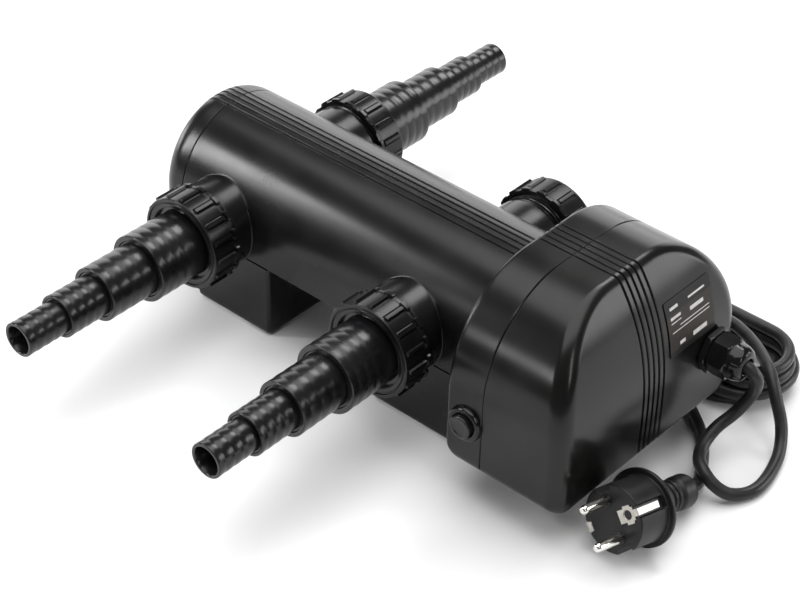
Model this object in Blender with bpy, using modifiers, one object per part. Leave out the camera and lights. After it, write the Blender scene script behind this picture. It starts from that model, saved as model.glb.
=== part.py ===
"""Pond UV clarifier: a horizontal reactor tube with four union ports and stepped hose tails, and an
electrical casing with the lamp unit and a mains lead.

Metres, +Z up. The floor is z = 0. X runs along the reactor towards the casing, the ports point
along Y, and x = 0 is the axis of the two left ports.
"""
from math import asin, cos, pi, radians, sin, sqrt

import bmesh
import bpy
from mathutils import Matrix, Vector

GAP = 0.0003                      # clearance between neighbouring solids

# Reactor tube
TUBE_Z = 0.0614                   # height of the tube's and the ports' axis
BODY_R = 0.045
SKIRT_Z = 0.0454                  # lower edge of the straight sides
BELLY_R = 0.0425
CHAMBER_R = 0.0395
CHAMBER_END = 0.1815
SEAM_X = -0.0295                  # joint between the tube and its left end
END_X = -0.047
END_ROUND = 0.012
END_LEAN = 0.0016                 # how far the end's top leans out and its foot leans in
BODY_WALL = 0.003
SPIGOT_R = 0.0330                 # threaded neck that carries the lamp flange
SPIGOT_BORE_R = 0.0300
SPIGOT_END = 0.196
GROOVE_COUNT = 5
GROOVE_PITCH = 0.00412
GROOVE_WIDTH = 0.0018
GROOVE_DEPTH = 0.0009

# Feet
FOOT_SPANS = {"foot_left": (-0.020, 0.0358), "foot_right": (0.111, 0.1847)}
FOOT_WALL = 0.003
FOOT_FLOOR = 0.004

# Ports
PORT_X = {"left": 0.0, "right": 0.1338}
SIDES = {"near": -1, "far": 1}
NECK_R = 0.0242
NECK_END = 0.066                  # distance of the neck's mouth from the centreline
PORT_BORE_R = 0.0187
SEAL_THICK = 0.0020
NUT_REAR = 0.0570
NUT_LIP = 0.0744
NUT_LIP_THICK = 0.0026
NUT_R = 0.0262
NUT_RIB_R = 0.0279
NUT_RIB_WIDTH = 0.0030
NUT_RIBS = 16
NUT_HOLE_R = 0.0205
FLANGE_R = 0.0236
HUB_R = 0.0187
CAP_SHIFT = 0.0050                # the nut over the blanking cap sits further out
TAIL_TIP = 0.1872
TAIL_STEPS = [(0.1872, 0.00952), (0.1612, 0.0119), (0.1359, 0.0152), (0.1054, 0.01905)]
TAIL_BORE_TIP = 0.0074
TAIL_BORE_BASE = 0.0155

# Electrical casing
CASING_REAR = 0.185
BAND_FRONT = 0.2072
COVER_REAR = 0.2075
FRONT_X = 0.2572                  # flat lower part of the front
FRONT_FLAT_TOP = 0.042
FRONT_SWEEP = 0.021               # how far the front leans back at FRONT_SWEEP_TOP
FRONT_SWEEP_TOP = 0.121
FRONT_POWER = 2.8
CASING_HALF = 0.0729
CASING_TOP = 0.123
CASING_BASE = 0.0226
CROWN_HALF = 0.017
ARCH_Z = 0.0671
BASE_FILLET = 0.004
SIDE_ROUND = 0.009
EDGE_ROUND = 0.003
WALL = 0.003
SCREW_PLACES = [(0.060, 0.036), (-0.060, 0.036), (0.048, 0.096), (-0.048, 0.096)]
BOSS_R = 0.004
BOSS_REAR = 0.1905
SCREW_R = 0.0019
SCREW_HOLE_R = 0.0023
SCREW_HEAD_R = 0.0035

# Lock button on the casing's near side
LOCK_X = 0.1977
LOCK_Z = 0.0507
BUTTON_R = 0.0064
BUTTON_TOP = 0.0783
STEM_R = 0.0029

# Cable gland on the casing's front
GLAND_Y = 0.0485
GLAND_Z = 0.059
GLAND_FACE = 0.2575
GLAND_MOUTH = 0.2797

# Plug, lying nose up with its flange on the floor
PLUG_FACE = Vector((0.2777, -0.0561, 0.0257))
PLUG_TURN = radians(-4.7)
PLUG_TILT = radians(75.05)
PLUG_ROLL = radians(-45.4)
PLUG_R = 0.0176
PLUG_FLANGE_R = 0.0204
PLUG_NECK_R = 0.0085
PIN_R = 0.0024
PIN_SPACING = 0.019
PIN_LENGTH = 0.0187
EARTH_Y = 0.0102                  # the earth socket's distance from the plug's axis
STRIP_IN = 0.0160
STRIP_OUT = 0.0173
STRIP_END = -0.0195
RELIEF_START = -0.0293
RELIEF_END = -0.0620

# Cable
CORD_R = 0.0034
CORD_STEP = 0.0125
MAIN_ROUTE = [
    (0.2832, 0.0486, 0.0574), (0.2852, 0.0502, 0.0515), (0.2824, 0.0519, 0.0410), (0.2772, 0.0475, 0.0290),
    (0.2726, 0.0375, 0.0217), (0.2730, 0.0264, 0.0174), (0.2772, 0.0175, 0.0160), (0.2840, 0.0128, 0.0144),
    (0.2905, 0.0125, 0.0103), (0.2966, 0.0158, 0.0062), (0.3012, 0.0224, 0.0040), (0.3040, 0.0300, 0.0036),
    (0.3038, 0.0400, 0.0036), (0.3006, 0.0535, 0.0037), (0.2968, 0.0634, 0.0058), (0.2912, 0.0712, 0.0134),
    (0.2838, 0.0755, 0.0236), (0.2742, 0.0827, 0.0312), (0.2624, 0.0923, 0.0314), (0.2518, 0.0989, 0.0312),
    (0.2425, 0.1029, 0.0312), (0.2342, 0.1048, 0.0312)]
LEAD_ROUTE = [
    (0.2275, 0.0702, 0.0036), (0.2360, 0.0648, 0.0036), (0.2470, 0.0570, 0.0036), (0.2580, 0.0480, 0.0036),
    (0.2660, 0.0385, 0.0036), (0.2718, 0.0300, 0.0038), (0.2763, 0.0225, 0.0046), (0.2800, 0.0160, 0.0060),
    (0.2822, 0.0102, 0.0079), (0.2827, 0.0050, 0.0094)]
HANK_X = (0.062, 0.272)
HANK_Y = (0.0735, 0.133)
HANK_Z = (0.0002, 0.0272)
STRAND_X = (0.100, 0.2330)        # the last run of cable, on top of the hank
STRAND_Y = (0.1016, 0.1084)
STRAND_TOP = 0.0343
TIE_X = 0.176

STEPS = 32                        # sides of the larger turned pieces
NUT_STEPS = 24
SMALL_STEPS = 20


# ---------------------------------------------------------------- helpers

def clear_scene():
    for old in list(bpy.data.objects):
        bpy.data.objects.remove(old, do_unlink=True)


def collection(name):
    group = bpy.data.collections.new(name)
    bpy.context.scene.collection.children.link(group)
    return group


def paint(name, colour, roughness, metallic=0.0, transmission=0.0):
    material = bpy.data.materials.new(name)
    material.use_nodes = True
    shader = material.node_tree.nodes["Principled BSDF"]
    shader.inputs["Base Color"].default_value = (*colour, 1.0)
    shader.inputs["Roughness"].default_value = roughness
    shader.inputs["Metallic"].default_value = metallic
    shader.inputs["Transmission Weight"].default_value = transmission
    return material


def add(name, mesh, look, place=(0, 0, 0), turn=(0, 0, 0)):
    """A new part from a mesh, in the model's collection."""
    part = bpy.data.objects.new(name, mesh)
    MODEL.objects.link(part)
    part.location = place
    part.rotation_euler = turn
    mesh.materials.clear()
    mesh.materials.append(look)
    return part


def smooth(part, angle=35):
    part.data.shade_smooth()
    part.data.set_sharp_from_angle(angle=radians(angle))


def turned(name, profile, look, centre, direction, steps=STEPS):
    """A turned piece. profile holds (radius, height) points down the outer side; it is closed when
    it doesn't touch the axis. Its height axis points along direction."""
    closed = profile[0][0] > 0
    mesh = bpy.data.meshes.new(name)
    points = [(radius, 0, height) for radius, height in profile]
    edges = [(index, index + 1) for index in range(len(points) - 1)]
    if closed:
        edges.append((len(points) - 1, 0))
    mesh.from_pydata(points, edges, [])
    turn = Vector(direction).to_track_quat("Z", "Y").to_euler()
    part = add(name, mesh, look, centre, turn)
    screw = part.modifiers.new("turn", "SCREW")
    screw.steps = steps
    screw.render_steps = steps
    screw.use_merge_vertices = True
    screw.merge_threshold = 0.00001
    screw.use_smooth_shade = True
    return part


def rod(name, radius, start, end, look, steps=SMALL_STEPS):
    """A plain cylinder between two points, turned by half a side so that its corners stay off the
    model's main planes."""
    start = Vector(start)
    axis = Vector(end) - start
    profile = [(0, axis.length), (radius, axis.length), (radius, 0), (0, 0)]
    part = turned(name, profile, look, start, axis, steps)
    half_side = Matrix.Rotation(pi / steps, 3, "Z")
    part.rotation_euler = (part.rotation_euler.to_matrix() @ half_side).to_euler()
    return part


def ring(name, inner, outer, start, end, look, steps=STEPS):
    """A plain tube between two points."""
    start = Vector(start)
    axis = Vector(end) - start
    profile = [(outer, axis.length), (outer, 0), (inner, 0), (inner, axis.length)]
    return turned(name, profile, look, start, axis, steps)


def seal_ring(name, mean, thick, centre, direction, look, steps=24):
    """A round-section seal."""
    corners = [radians(90 - 60 * index) for index in range(6)]
    profile = [(mean + thick * cos(angle), thick * sin(angle)) for angle in corners]
    return turned(name, profile, look, centre, direction, steps)


def block(name, low, high, look, bevel=0.0):
    """A box between two corners."""
    low = Vector(low)
    high = Vector(high)
    bpy.ops.mesh.primitive_cube_add(size=1)
    part = bpy.context.object
    mesh = part.data
    bpy.data.objects.remove(part)
    mesh.transform(Matrix.Diagonal((*(high - low), 1)))
    part = add(name, mesh, look, (low + high) / 2)
    if bevel:
        edge = part.modifiers.new("edges", "BEVEL")
        edge.width = bevel
        edge.segments = 1
    return part


def loft(name, rings, look, ends="flat"):
    """A skin over rings of equal size. Its ends are flat caps, or "rows": strips between the two
    halves of the ring, which follow a curved front, or "joined": the last ring meets the first."""
    shape = bmesh.new()
    loops = [[shape.verts.new(point) for point in points] for points in rings]
    pairs = list(zip(loops, loops[1:]))
    if ends == "joined":
        pairs.append((loops[-1], loops[0]))
    for near, far in pairs:
        for index, vertex in enumerate(near):
            other = (index + 1) % len(near)
            shape.faces.new((vertex, near[other], far[other], far[index]))
    for loop in () if ends == "joined" else (loops[0], loops[-1]):
        if ends == "rows":
            for index in range(len(loop) // 2 - 1):
                shape.faces.new((loop[index], loop[index + 1], loop[-2 - index], loop[-1 - index]))
        else:
            shape.faces.new(loop)
    bmesh.ops.recalc_face_normals(shape, faces=shape.faces)
    mesh = bpy.data.meshes.new(name)
    shape.to_mesh(mesh)
    shape.free()
    part = add(name, mesh, look)
    smooth(part)
    return part


def real_mesh(part, name):
    """The evaluated mesh of a part, with its caps welded; the part itself is removed."""
    bpy.context.view_layer.update()
    mesh = bpy.data.meshes.new_from_object(part.evaluated_get(bpy.context.evaluated_depsgraph_get()))
    shape = bmesh.new()
    shape.from_mesh(mesh)
    bmesh.ops.remove_doubles(shape, verts=shape.verts, dist=0.000005)
    bmesh.ops.recalc_face_normals(shape, faces=shape.faces)
    shape.to_mesh(mesh)
    shape.free()
    matrix = part.matrix_world.copy()
    bpy.data.objects.remove(part)
    mesh.name = name
    return mesh, matrix


def extruded(name, outline, depth, look, place, turn):
    """A flat outline in its local XY plane, extruded by half the depth each way."""
    curve = bpy.data.curves.new(name, "CURVE")
    curve.dimensions = "2D"
    curve.fill_mode = "BOTH"
    curve.extrude = depth / 2
    spline = curve.splines.new("POLY")
    spline.points.add(len(outline) - 1)
    for point, (across, along) in zip(spline.points, outline):
        point.co = (across, along, 0, 1)
    spline.use_cyclic_u = True
    flat = bpy.data.objects.new(name + "_outline", curve)
    MODEL.objects.link(flat)
    mesh, _ = real_mesh(flat, name)
    return add(name, mesh, look, place, turn)


def boolean(part, operation, tools):
    """Cuts or joins all the tools in one step; they go to a group of their own."""
    group = bpy.data.collections.new(part.name + "_" + operation.lower())
    CUTTERS.children.link(group)
    for tool in tools:
        MODEL.objects.unlink(tool)
        group.objects.link(tool)
        tool.hide_render = True
        tool.display_type = "WIRE"
    step = part.modifiers.new(operation.lower(), "BOOLEAN")
    step.operation = operation
    step.solver = "EXACT"
    step.operand_type = "COLLECTION"
    step.collection = group
    return part


def cut(part, *tools):
    return boolean(part, "DIFFERENCE", tools)


def join(part, *tools):
    return boolean(part, "UNION", tools)


def tube(name, points, radius, look, sides=2):
    """A round wire or cable along a row of points."""
    curve = bpy.data.curves.new(name, "CURVE")
    curve.dimensions = "3D"
    curve.bevel_depth = radius
    curve.bevel_resolution = sides
    curve.use_fill_caps = True
    spline = curve.splines.new("POLY")
    spline.points.add(len(points) - 1)
    for point, place in zip(spline.points, points):
        point.co = (*place, 1)
    path = bpy.data.objects.new(name + "_path", curve)
    MODEL.objects.link(path)
    mesh, _ = real_mesh(path, name)
    part = add(name, mesh, look)
    smooth(part)
    return part


def smooth_route(route, step):
    """Evenly spaced points on a Catmull-Rom curve through the route."""
    knots = [Vector(point) for point in route]
    knots = [2 * knots[0] - knots[1], *knots, 2 * knots[-1] - knots[-2]]
    fine = []
    for before, start, end, after in zip(knots, knots[1:], knots[2:], knots[3:]):
        for index in range(16):
            t = index / 16
            fine.append(0.5 * (2 * start + (end - before) * t
                               + (2 * before - 5 * start + 4 * end - after) * t ** 2
                               + (3 * start - before - 3 * end + after) * t ** 3))
    fine.append(knots[-2])
    length = sum((b - a).length for a, b in zip(fine, fine[1:]))
    count = round(length / step)
    points = [fine[0]]
    travelled = 0.0
    for a, b in zip(fine, fine[1:]):
        travelled += (b - a).length
        if travelled >= len(points) * length / count and len(points) < count:
            points.append(b)
    return [*points, fine[-1]]


# ---------------------------------------------------------------- reactor

def groove_points(radius):
    """(y, z) points across the grooves on the crown, from +Y to -Y."""
    points = []
    for index in range(GROOVE_COUNT):
        centre = ((GROOVE_COUNT - 1) / 2 - index) * GROOVE_PITCH
        for offset, depth in ((0.5, 0), (0, GROOVE_DEPTH), (-0.5, 0)):
            y = centre + offset * GROOVE_WIDTH
            points.append((y, TUBE_Z + sqrt(radius ** 2 - y ** 2) - depth))
    return points


def body_outline():
    """Tube section as (y, z): straight sides, grooved arch, and the round belly under the skirt."""
    arch = [radians(9 * index) for index in range(9)]
    right = [(BODY_R * cos(angle), TUBE_Z + BODY_R * sin(angle)) for angle in arch]
    left = [(-y, z) for y, z in reversed(right)]
    drop = TUBE_Z - SKIRT_Z
    belly_half = sqrt(BELLY_R ** 2 - drop ** 2)
    tuck = asin(drop / BELLY_R)
    belly = []
    for index in range(1, 12):
        angle = pi + tuck + (pi - 2 * tuck) * index / 12
        belly.append((BELLY_R * cos(angle), TUBE_Z + BELLY_R * sin(angle)))
    skirt_left = [(-BODY_R, SKIRT_Z), (-belly_half, SKIRT_Z)]
    skirt_right = [(belly_half, SKIRT_Z), (BODY_R, SKIRT_Z)]
    return [*right, *groove_points(BODY_R), *left, *skirt_left, *belly, *skirt_right]


def scaled_outline(x, scale):
    """The tube section at x, shrunk about the tube's axis."""
    return [Vector((x, y * scale, TUBE_Z + (z - TUBE_Z) * scale)) for y, z in body_outline()]


def reactor_body(black):
    body = loft("reactor_body", [scaled_outline(SEAM_X, 1), scaled_outline(CASING_REAR - GAP, 1)], black)
    necks = [rod("neck_" + name, NECK_R, (x, -NECK_END, TUBE_Z), (x, NECK_END, TUBE_Z), black, STEPS)
             for name, x in PORT_X.items()]
    spigot = rod("spigot", SPIGOT_R, (0.15, 0, TUBE_Z), (SPIGOT_END, 0, TUBE_Z), black, STEPS)
    join(body, *necks, spigot)
    chamber = rod("chamber", CHAMBER_R, (SEAM_X - 0.01, 0, TUBE_Z), (CHAMBER_END, 0, TUBE_Z), black, STEPS)
    mouth = rod("mouth", SPIGOT_BORE_R, (0.17, 0, TUBE_Z), (SPIGOT_END + 0.01, 0, TUBE_Z), black, STEPS)
    bores = [rod("bore_" + name, PORT_BORE_R, (x, -0.08, TUBE_Z), (x, 0.08, TUBE_Z), black)
             for name, x in PORT_X.items()]
    cut(body, chamber, mouth, *bores)
    return body


def end_cap(black):
    rings = []
    for angle in (90, 67.5, 45, 22.5, 0):
        inset = END_ROUND * (1 - cos(radians(angle)))
        x = END_X + END_ROUND * (1 - sin(radians(angle)))
        rings.append(scaled_outline(x, 1 - inset / BODY_R))
    wall = 1 - BODY_WALL / BODY_R * 1.6
    rings.append(scaled_outline(SEAM_X - GAP, 1))
    rings.append(scaled_outline(SEAM_X - GAP, wall))
    rings.append(scaled_outline(END_X + END_ROUND, wall))
    rings.append(scaled_outline(END_X + BODY_WALL, wall - END_ROUND / BODY_R * 0.8))
    for ring_points in rings:
        for point in ring_points:
            share = (SEAM_X - point.x) / (SEAM_X - END_X)
            point.x -= END_LEAN * share * (point.z - TUBE_Z) / BODY_R
    return loft("end_cap", rings, black)


def foot(name, span, black):
    """A box foot, open at the top, that cradles the tube's belly."""
    low, high = span
    top = SKIRT_Z - GAP
    box = block(name, (low, -BODY_R, 0), (high, BODY_R, top), black)
    inside_low = (low + FOOT_WALL, -BODY_R + FOOT_WALL, FOOT_FLOOR)
    inside_high = (high - FOOT_WALL, BODY_R - FOOT_WALL, top + 0.01)
    hollow = block(name + "_hollow", inside_low, inside_high, black)
    cradle_start = (low - 0.01, 0, TUBE_Z)
    cradle_end = (high + 0.01, 0, TUBE_Z)
    cradle = rod(name + "_cradle", BELLY_R + GAP, cradle_start, cradle_end, black, STEPS * 2)
    ports = [rod(name + "_port_" + port, NECK_R + GAP, (x, -0.08, TUBE_Z), (x, 0.08, TUBE_Z), black, STEPS)
             for port, x in PORT_X.items()]
    return cut(box, hollow, cradle, *ports)


# ---------------------------------------------------------------- ports

def union_nut(name, x, side, shift, black):
    rear = NUT_REAR + shift
    lip = NUT_LIP + shift
    inner = NECK_R + GAP
    collar = NUT_R + 0.0012
    height = lip - rear
    profile = [
        (NUT_HOLE_R, height), (NUT_R - 0.001, height), (NUT_R, height - 0.001), (NUT_R, 0.0015),
        (collar, 0.001), (collar, 0), (inner, 0), (inner, height - NUT_LIP_THICK),
        (NUT_HOLE_R, height - NUT_LIP_THICK)]
    nut = turned(name, profile, black, (x, side * rear, TUBE_Z), (0, side, 0), NUT_STEPS)
    shape = bmesh.new()
    for index in range(NUT_RIBS):
        box = bmesh.ops.create_cube(shape, size=1)["verts"]
        depth = NUT_RIB_R - NUT_R + 0.0006
        size = Matrix.Diagonal((NUT_RIB_WIDTH, depth, height - 0.003, 1))
        out = Matrix.Translation((0, NUT_RIB_R - depth / 2, (height - 0.003) / 2 + 0.0012))
        spin = Matrix.Rotation(2 * pi * index / NUT_RIBS, 4, "Z")
        bmesh.ops.transform(shape, matrix=spin @ out @ size, verts=box)
    mesh = bpy.data.meshes.new(name + "_ribs")
    shape.to_mesh(mesh)
    shape.free()
    ribs = add(name + "_ribs", mesh, black, nut.location, nut.rotation_euler)
    return join(nut, ribs)


def hose_tail(name, x, side, black):
    """A stepped hose tail for four hose sizes, with its flange under the union nut."""
    base = NECK_END + SEAL_THICK + 2 * GAP
    flange_top = NUT_LIP - NUT_LIP_THICK - GAP - base
    outer = []
    for index, (face, radius) in enumerate(TAIL_STEPS):
        following = TAIL_STEPS[index + 1][0] if index + 1 < len(TAIL_STEPS) else NUT_LIP + 0.004
        outer.append((radius - 0.0012, face - base))
        outer.append((radius, face - base - 0.0016))
        outer.append((radius - 0.0006, following - base))
    outer.append((HUB_R, NUT_LIP - base))
    outer.append((HUB_R, flange_top))
    outer.append((FLANGE_R, flange_top))
    outer.append((FLANGE_R, 0))
    bore = [(TAIL_BORE_BASE, 0), (TAIL_BORE_TIP, TAIL_STEPS[1][0] - base), (TAIL_BORE_TIP, TAIL_TIP - base)]
    return turned(name, outer + bore, black, (x, side * base, TUBE_Z), (0, side, 0), SMALL_STEPS)


def blanking_cap(name, x, side, black):
    base = NECK_END + SEAL_THICK + 2 * GAP
    flange_top = NUT_LIP + CAP_SHIFT - NUT_LIP_THICK - GAP - base
    face = NUT_LIP + CAP_SHIFT - base
    plug = NUT_HOLE_R - 0.0008
    hollow = 0.016
    profile = [(0, face), (plug - 0.001, face), (plug, face - 0.001), (plug, flange_top),
               (FLANGE_R, flange_top), (FLANGE_R, 0), (hollow, 0), (hollow, 0.004), (0, 0.004)]
    return turned(name, profile, black, (x, side * base, TUBE_Z), (0, side, 0))


def ports(black, rubber):
    for end, x in PORT_X.items():
        for near, side in SIDES.items():
            place = near + "_" + end
            blanked = place == "far_right"
            union_nut("union_nut_" + place, x, side, CAP_SHIFT if blanked else 0, black)
            seal_start = (x, side * (NECK_END + GAP), TUBE_Z)
            seal_end = (x, side * (NECK_END + GAP + SEAL_THICK), TUBE_Z)
            ring("port_seal_" + place, 0.0195, 0.0232, seal_start, seal_end, rubber, 24)
            if blanked:
                blanking_cap("blanking_cap", x, side, black)
            else:
                hose_tail("hose_tail_" + place, x, side, black)


# ---------------------------------------------------------------- casing

def front_x(z):
    """The casing's front surface: flat below, leaning back in a curve above."""
    rise = max(0.0, z - FRONT_FLAT_TOP) / (FRONT_SWEEP_TOP - FRONT_FLAT_TOP)
    return FRONT_X - FRONT_SWEEP * rise ** FRONT_POWER


def casing_half(side_inset, edge_inset):
    """Half of the casing's section, from base to crown, as (y, z, side); side is 1 on the flank and
    0 on the base and the crown."""
    half = CASING_HALF - side_inset
    base = CASING_BASE + edge_inset
    top = CASING_TOP - edge_inset
    points = []
    for index in range(4):
        angle = radians(30 * index - 90)
        y = half - BASE_FILLET * (1 - cos(angle))
        points.append((y, base + BASE_FILLET * (1 + sin(angle)), cos(angle)))
    for index in range(11):
        angle = radians(9 * index)
        y = CROWN_HALF + (half - CROWN_HALF) * cos(angle)
        points.append((y, ARCH_Z + (top - ARCH_Z) * sin(angle), cos(angle)))
    return points


def casing_ring(place, side_inset, edge_inset):
    """A full ring round the casing; place gives x from the point's height and side value."""
    half = casing_half(side_inset, edge_inset)
    right = [Vector((place(z, side), y, z)) for y, z, side in half]
    left = [Vector((place(z, side), -y, z)) for y, z, side in half]
    return right + left[::-1]


def casing_band(black):
    def at(x):
        return lambda z, side: x
    rings = [casing_ring(at(CASING_REAR), 0.002, 0.002), casing_ring(at(CASING_REAR + 0.002), 0, 0),
             casing_ring(at(BAND_FRONT), 0, 0), casing_ring(at(BAND_FRONT), WALL, WALL),
             casing_ring(at(CASING_REAR + WALL), WALL, WALL)]
    band = loft("casing_band", rings, black)
    opening = rod("band_opening", SPIGOT_R + GAP, (0.18, 0, TUBE_Z), (0.192, 0, TUBE_Z), black, STEPS)
    lock_hole = rod("lock_hole", 0.0085, (LOCK_X, -0.078, LOCK_Z), (LOCK_X, -0.068, LOCK_Z), black)
    holes = [rod("screw_hole", SCREW_HOLE_R, (0.18, y, z), (0.192, y, z), black, 12) for y, z in SCREW_PLACES]
    return cut(band, opening, lock_hole, *holes)


def casing_cover(black):
    def front(angle):
        """x of the rounded front edge, at this angle round the edge."""
        back = 1 - sin(radians(angle))
        return lambda z, side: front_x(z) - (side * SIDE_ROUND + (1 - side) * EDGE_ROUND) * back
    rings = []
    for angle in (90, 60, 30, 0):
        inset = 1 - cos(radians(angle))
        rings.append(casing_ring(front(angle), SIDE_ROUND * inset, EDGE_ROUND * inset))
    rings.append(casing_ring(lambda z, side: COVER_REAR, 0, 0))
    rings.append(casing_ring(lambda z, side: COVER_REAR, WALL, WALL))
    rings.append(casing_ring(lambda z, side: front_x(z) - WALL - 0.001 - 0.005 * side, WALL, WALL))
    rings.append(casing_ring(lambda z, side: front_x(z) - WALL, WALL + 0.005, WALL + 0.001))
    cover = loft("casing_cover", rings, black, ends="rows")
    bosses = []
    holes = []
    for y, z in SCREW_PLACES:
        bosses.append(rod("boss", BOSS_R, (BOSS_REAR, y, z), (front_x(z) - 0.0015, y, z), black, 12))
        holes.append(rod("boss_hole", SCREW_HOLE_R, (0.18, y, z), (0.206, y, z), black, 12))
    join(cover, *bosses)
    gland_hole = rod("gland_hole", 0.0083, (0.24, GLAND_Y, GLAND_Z), (0.262, GLAND_Y, GLAND_Z), black)
    return cut(cover, *holes, gland_hole)


def casing_screws(steel):
    for index, (y, z) in enumerate(SCREW_PLACES):
        head = CASING_REAR - GAP
        profile = [(0, 0.018), (SCREW_R, 0.018), (SCREW_R, 0), (SCREW_HEAD_R, 0), (SCREW_HEAD_R, -0.002),
                   (SCREW_HEAD_R - 0.001, -0.003), (0, -0.003)]
        turned("casing_screw_%d" % (index + 1), profile, steel, (head, y, z), (1, 0, 0), 12)


def lock(black, steel):
    """Spring-return lock button in its cup, with the spring and the clip that keeps it in."""
    mouth = (LOCK_X, 0, LOCK_Z)
    out = (0, -1, 0)
    guide = STEM_R + 0.0004
    cup = [(0.0069, 0.0755), (0.0090, 0.0755), (0.0099, 0.0747), (0.0099, 0.0732), (0.0082, 0.0732),
           (0.0082, 0.0625), (guide, 0.0625), (guide, 0.0640), (0.0069, 0.0640)]
    turned("lock_ring", cup, black, mouth, out, 24)
    edge = 0.0008
    button = [(0, BUTTON_TOP), (BUTTON_R - edge, BUTTON_TOP), (BUTTON_R, BUTTON_TOP - edge),
              (BUTTON_R, 0.0700), (STEM_R, 0.0700), (STEM_R, 0.0600), (0, 0.0600)]
    turned("lock_button", button, black, mouth, out, 24)
    ring("lock_clip", STEM_R + GAP, 0.0045, (LOCK_X, -0.0621, LOCK_Z), (LOCK_X, -0.0612, LOCK_Z), steel, 16)
    turns = 2.5
    spring_start, spring_length, spring_r = -0.0649, 0.0042, 0.0047
    count = round(turns * 10)
    coil = []
    for index in range(count + 1):
        angle = 2 * pi * turns * index / count
        y = spring_start - spring_length * index / count
        coil.append((LOCK_X + spring_r * cos(angle), y, LOCK_Z + spring_r * sin(angle)))
    tube("lock_spring", coil, 0.00035, steel)


def label_plate(paper):
    """A thin plate that follows the curved front."""
    rings = []
    for back in (0.0003, 0.0009):
        low, high = 0.072, 0.1015
        rows = [low + (high - low) * index / 6 for index in range(7)]
        right = [Vector((front_x(z) + back, 0.0503, z)) for z in rows]
        left = [Vector((front_x(z) + back, 0.013, z)) for z in reversed(rows)]
        rings.append(right + left)
    return loft("label_plate", rings, paper, ends="rows")


# ---------------------------------------------------------------- lamp unit

def quartz_sleeve(glass):
    """Test-tube shaped quartz sleeve with its mouth in the lamp flange."""
    outer, inner = 0.0230, 0.0215
    mouth, dome, depth, wall = 0.2100, -0.006, 0.010, 0.0015
    rise = [radians(90 - 22.5 * index) for index in range(1, 5)]
    inside = [(inner * cos(angle), dome - (depth - wall) * sin(angle)) for angle in rise]
    outside = [(outer * cos(angle), dome - depth * sin(angle)) for angle in reversed(rise)]
    profile = [(0, dome - depth + wall), *inside, (inner, mouth), (outer, mouth), *outside, (0, dome - depth)]
    return turned("quartz_sleeve", profile, glass, (0, 0, TUBE_Z), (1, 0, 0), 24)


def uvc_lamp(glass):
    """Twin-tube lamp: two straight tubes with a short bridge near their closed ends."""
    half, radius, tip, root = 0.0105, 0.00875, -0.003, 0.2135
    lamp = rod("uvc_lamp", radius, (tip, half, TUBE_Z), (root, half, TUBE_Z), glass, 16)
    second = rod("second_tube", radius, (tip, -half, TUBE_Z), (root, -half, TUBE_Z), glass, 16)
    bridge = rod("bridge", 0.004, (tip + 0.008, -half, TUBE_Z), (tip + 0.008, half, TUBE_Z), glass, 8)
    return join(lamp, second, bridge)


def lamp_unit(black, rubber, glass, white):
    axis = (1, 0, 0)
    origin = (0, 0, TUBE_Z)
    seal_start = (SPIGOT_END + GAP, 0, TUBE_Z)
    seal_end = (SPIGOT_END + GAP + 0.0014, 0, TUBE_Z)
    ring("main_seal", SPIGOT_BORE_R + GAP, SPIGOT_R - GAP, seal_start, seal_end, rubber)
    flange = [(0.0290, 0.2100), (0.0290, 0.2040), (0.0345, 0.2040), (0.0345, 0.1980), (0.0236, 0.1980),
              (0.0236, 0.2060), (0.0262, 0.2060), (0.0262, 0.2100)]
    turned("lamp_flange", flange, black, origin, axis)
    nut = [(0.0325, 0.2135), (0.0325, 0.2045), (0.0293, 0.2045), (0.0293, 0.2103), (0.0225, 0.2103),
           (0.0225, 0.2135)]
    turned("sleeve_nut", nut, black, origin, axis)
    seal_ring("sleeve_oring", 0.0247, 0.0011, (0.2078, 0, TUBE_Z), axis, rubber)
    quartz_sleeve(glass)
    uvc_lamp(glass)
    block("lamp_base", (0.2138, -0.0219, TUBE_Z - 0.013), (0.2285, 0.0219, TUBE_Z + 0.013), white, 0.002)
    block("lamp_socket", (0.2288, -0.0235, TUBE_Z - 0.0145), (0.2455, 0.0235, TUBE_Z + 0.0145), white, 0.002)


def electrics(steel, white, black):
    block("ballast", (0.2145, -0.038, 0.0965), (0.2385, 0.038, 0.111), steel, 0.0015)
    block("terminal_block", (0.222, 0.014, 0.030), (0.240, 0.042, 0.041), white, 0.001)
    block("interlock_switch", (0.191, -0.0560, 0.0445), (0.205, -0.0490, 0.0570), black, 0.001)


# ---------------------------------------------------------------- gland and cable

def round_ring(x, radius, sides=24):
    """A circle round the gland's axis."""
    turns = [2 * pi * index / sides for index in range(sides)]
    return [Vector((x, GLAND_Y + radius * cos(angle), GLAND_Z + radius * sin(angle))) for angle in turns]


def hex_ring(x, corner, sides=24):
    """A hexagon round the gland's axis, with as many points as round_ring."""
    points = []
    for index in range(sides):
        angle = 2 * pi * index / sides
        off_flat = angle % (pi / 3) - pi / 6
        radius = corner * cos(pi / 6) / cos(off_flat)
        points.append(Vector((x, GLAND_Y + radius * cos(angle), GLAND_Z + radius * sin(angle))))
    return points


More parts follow.
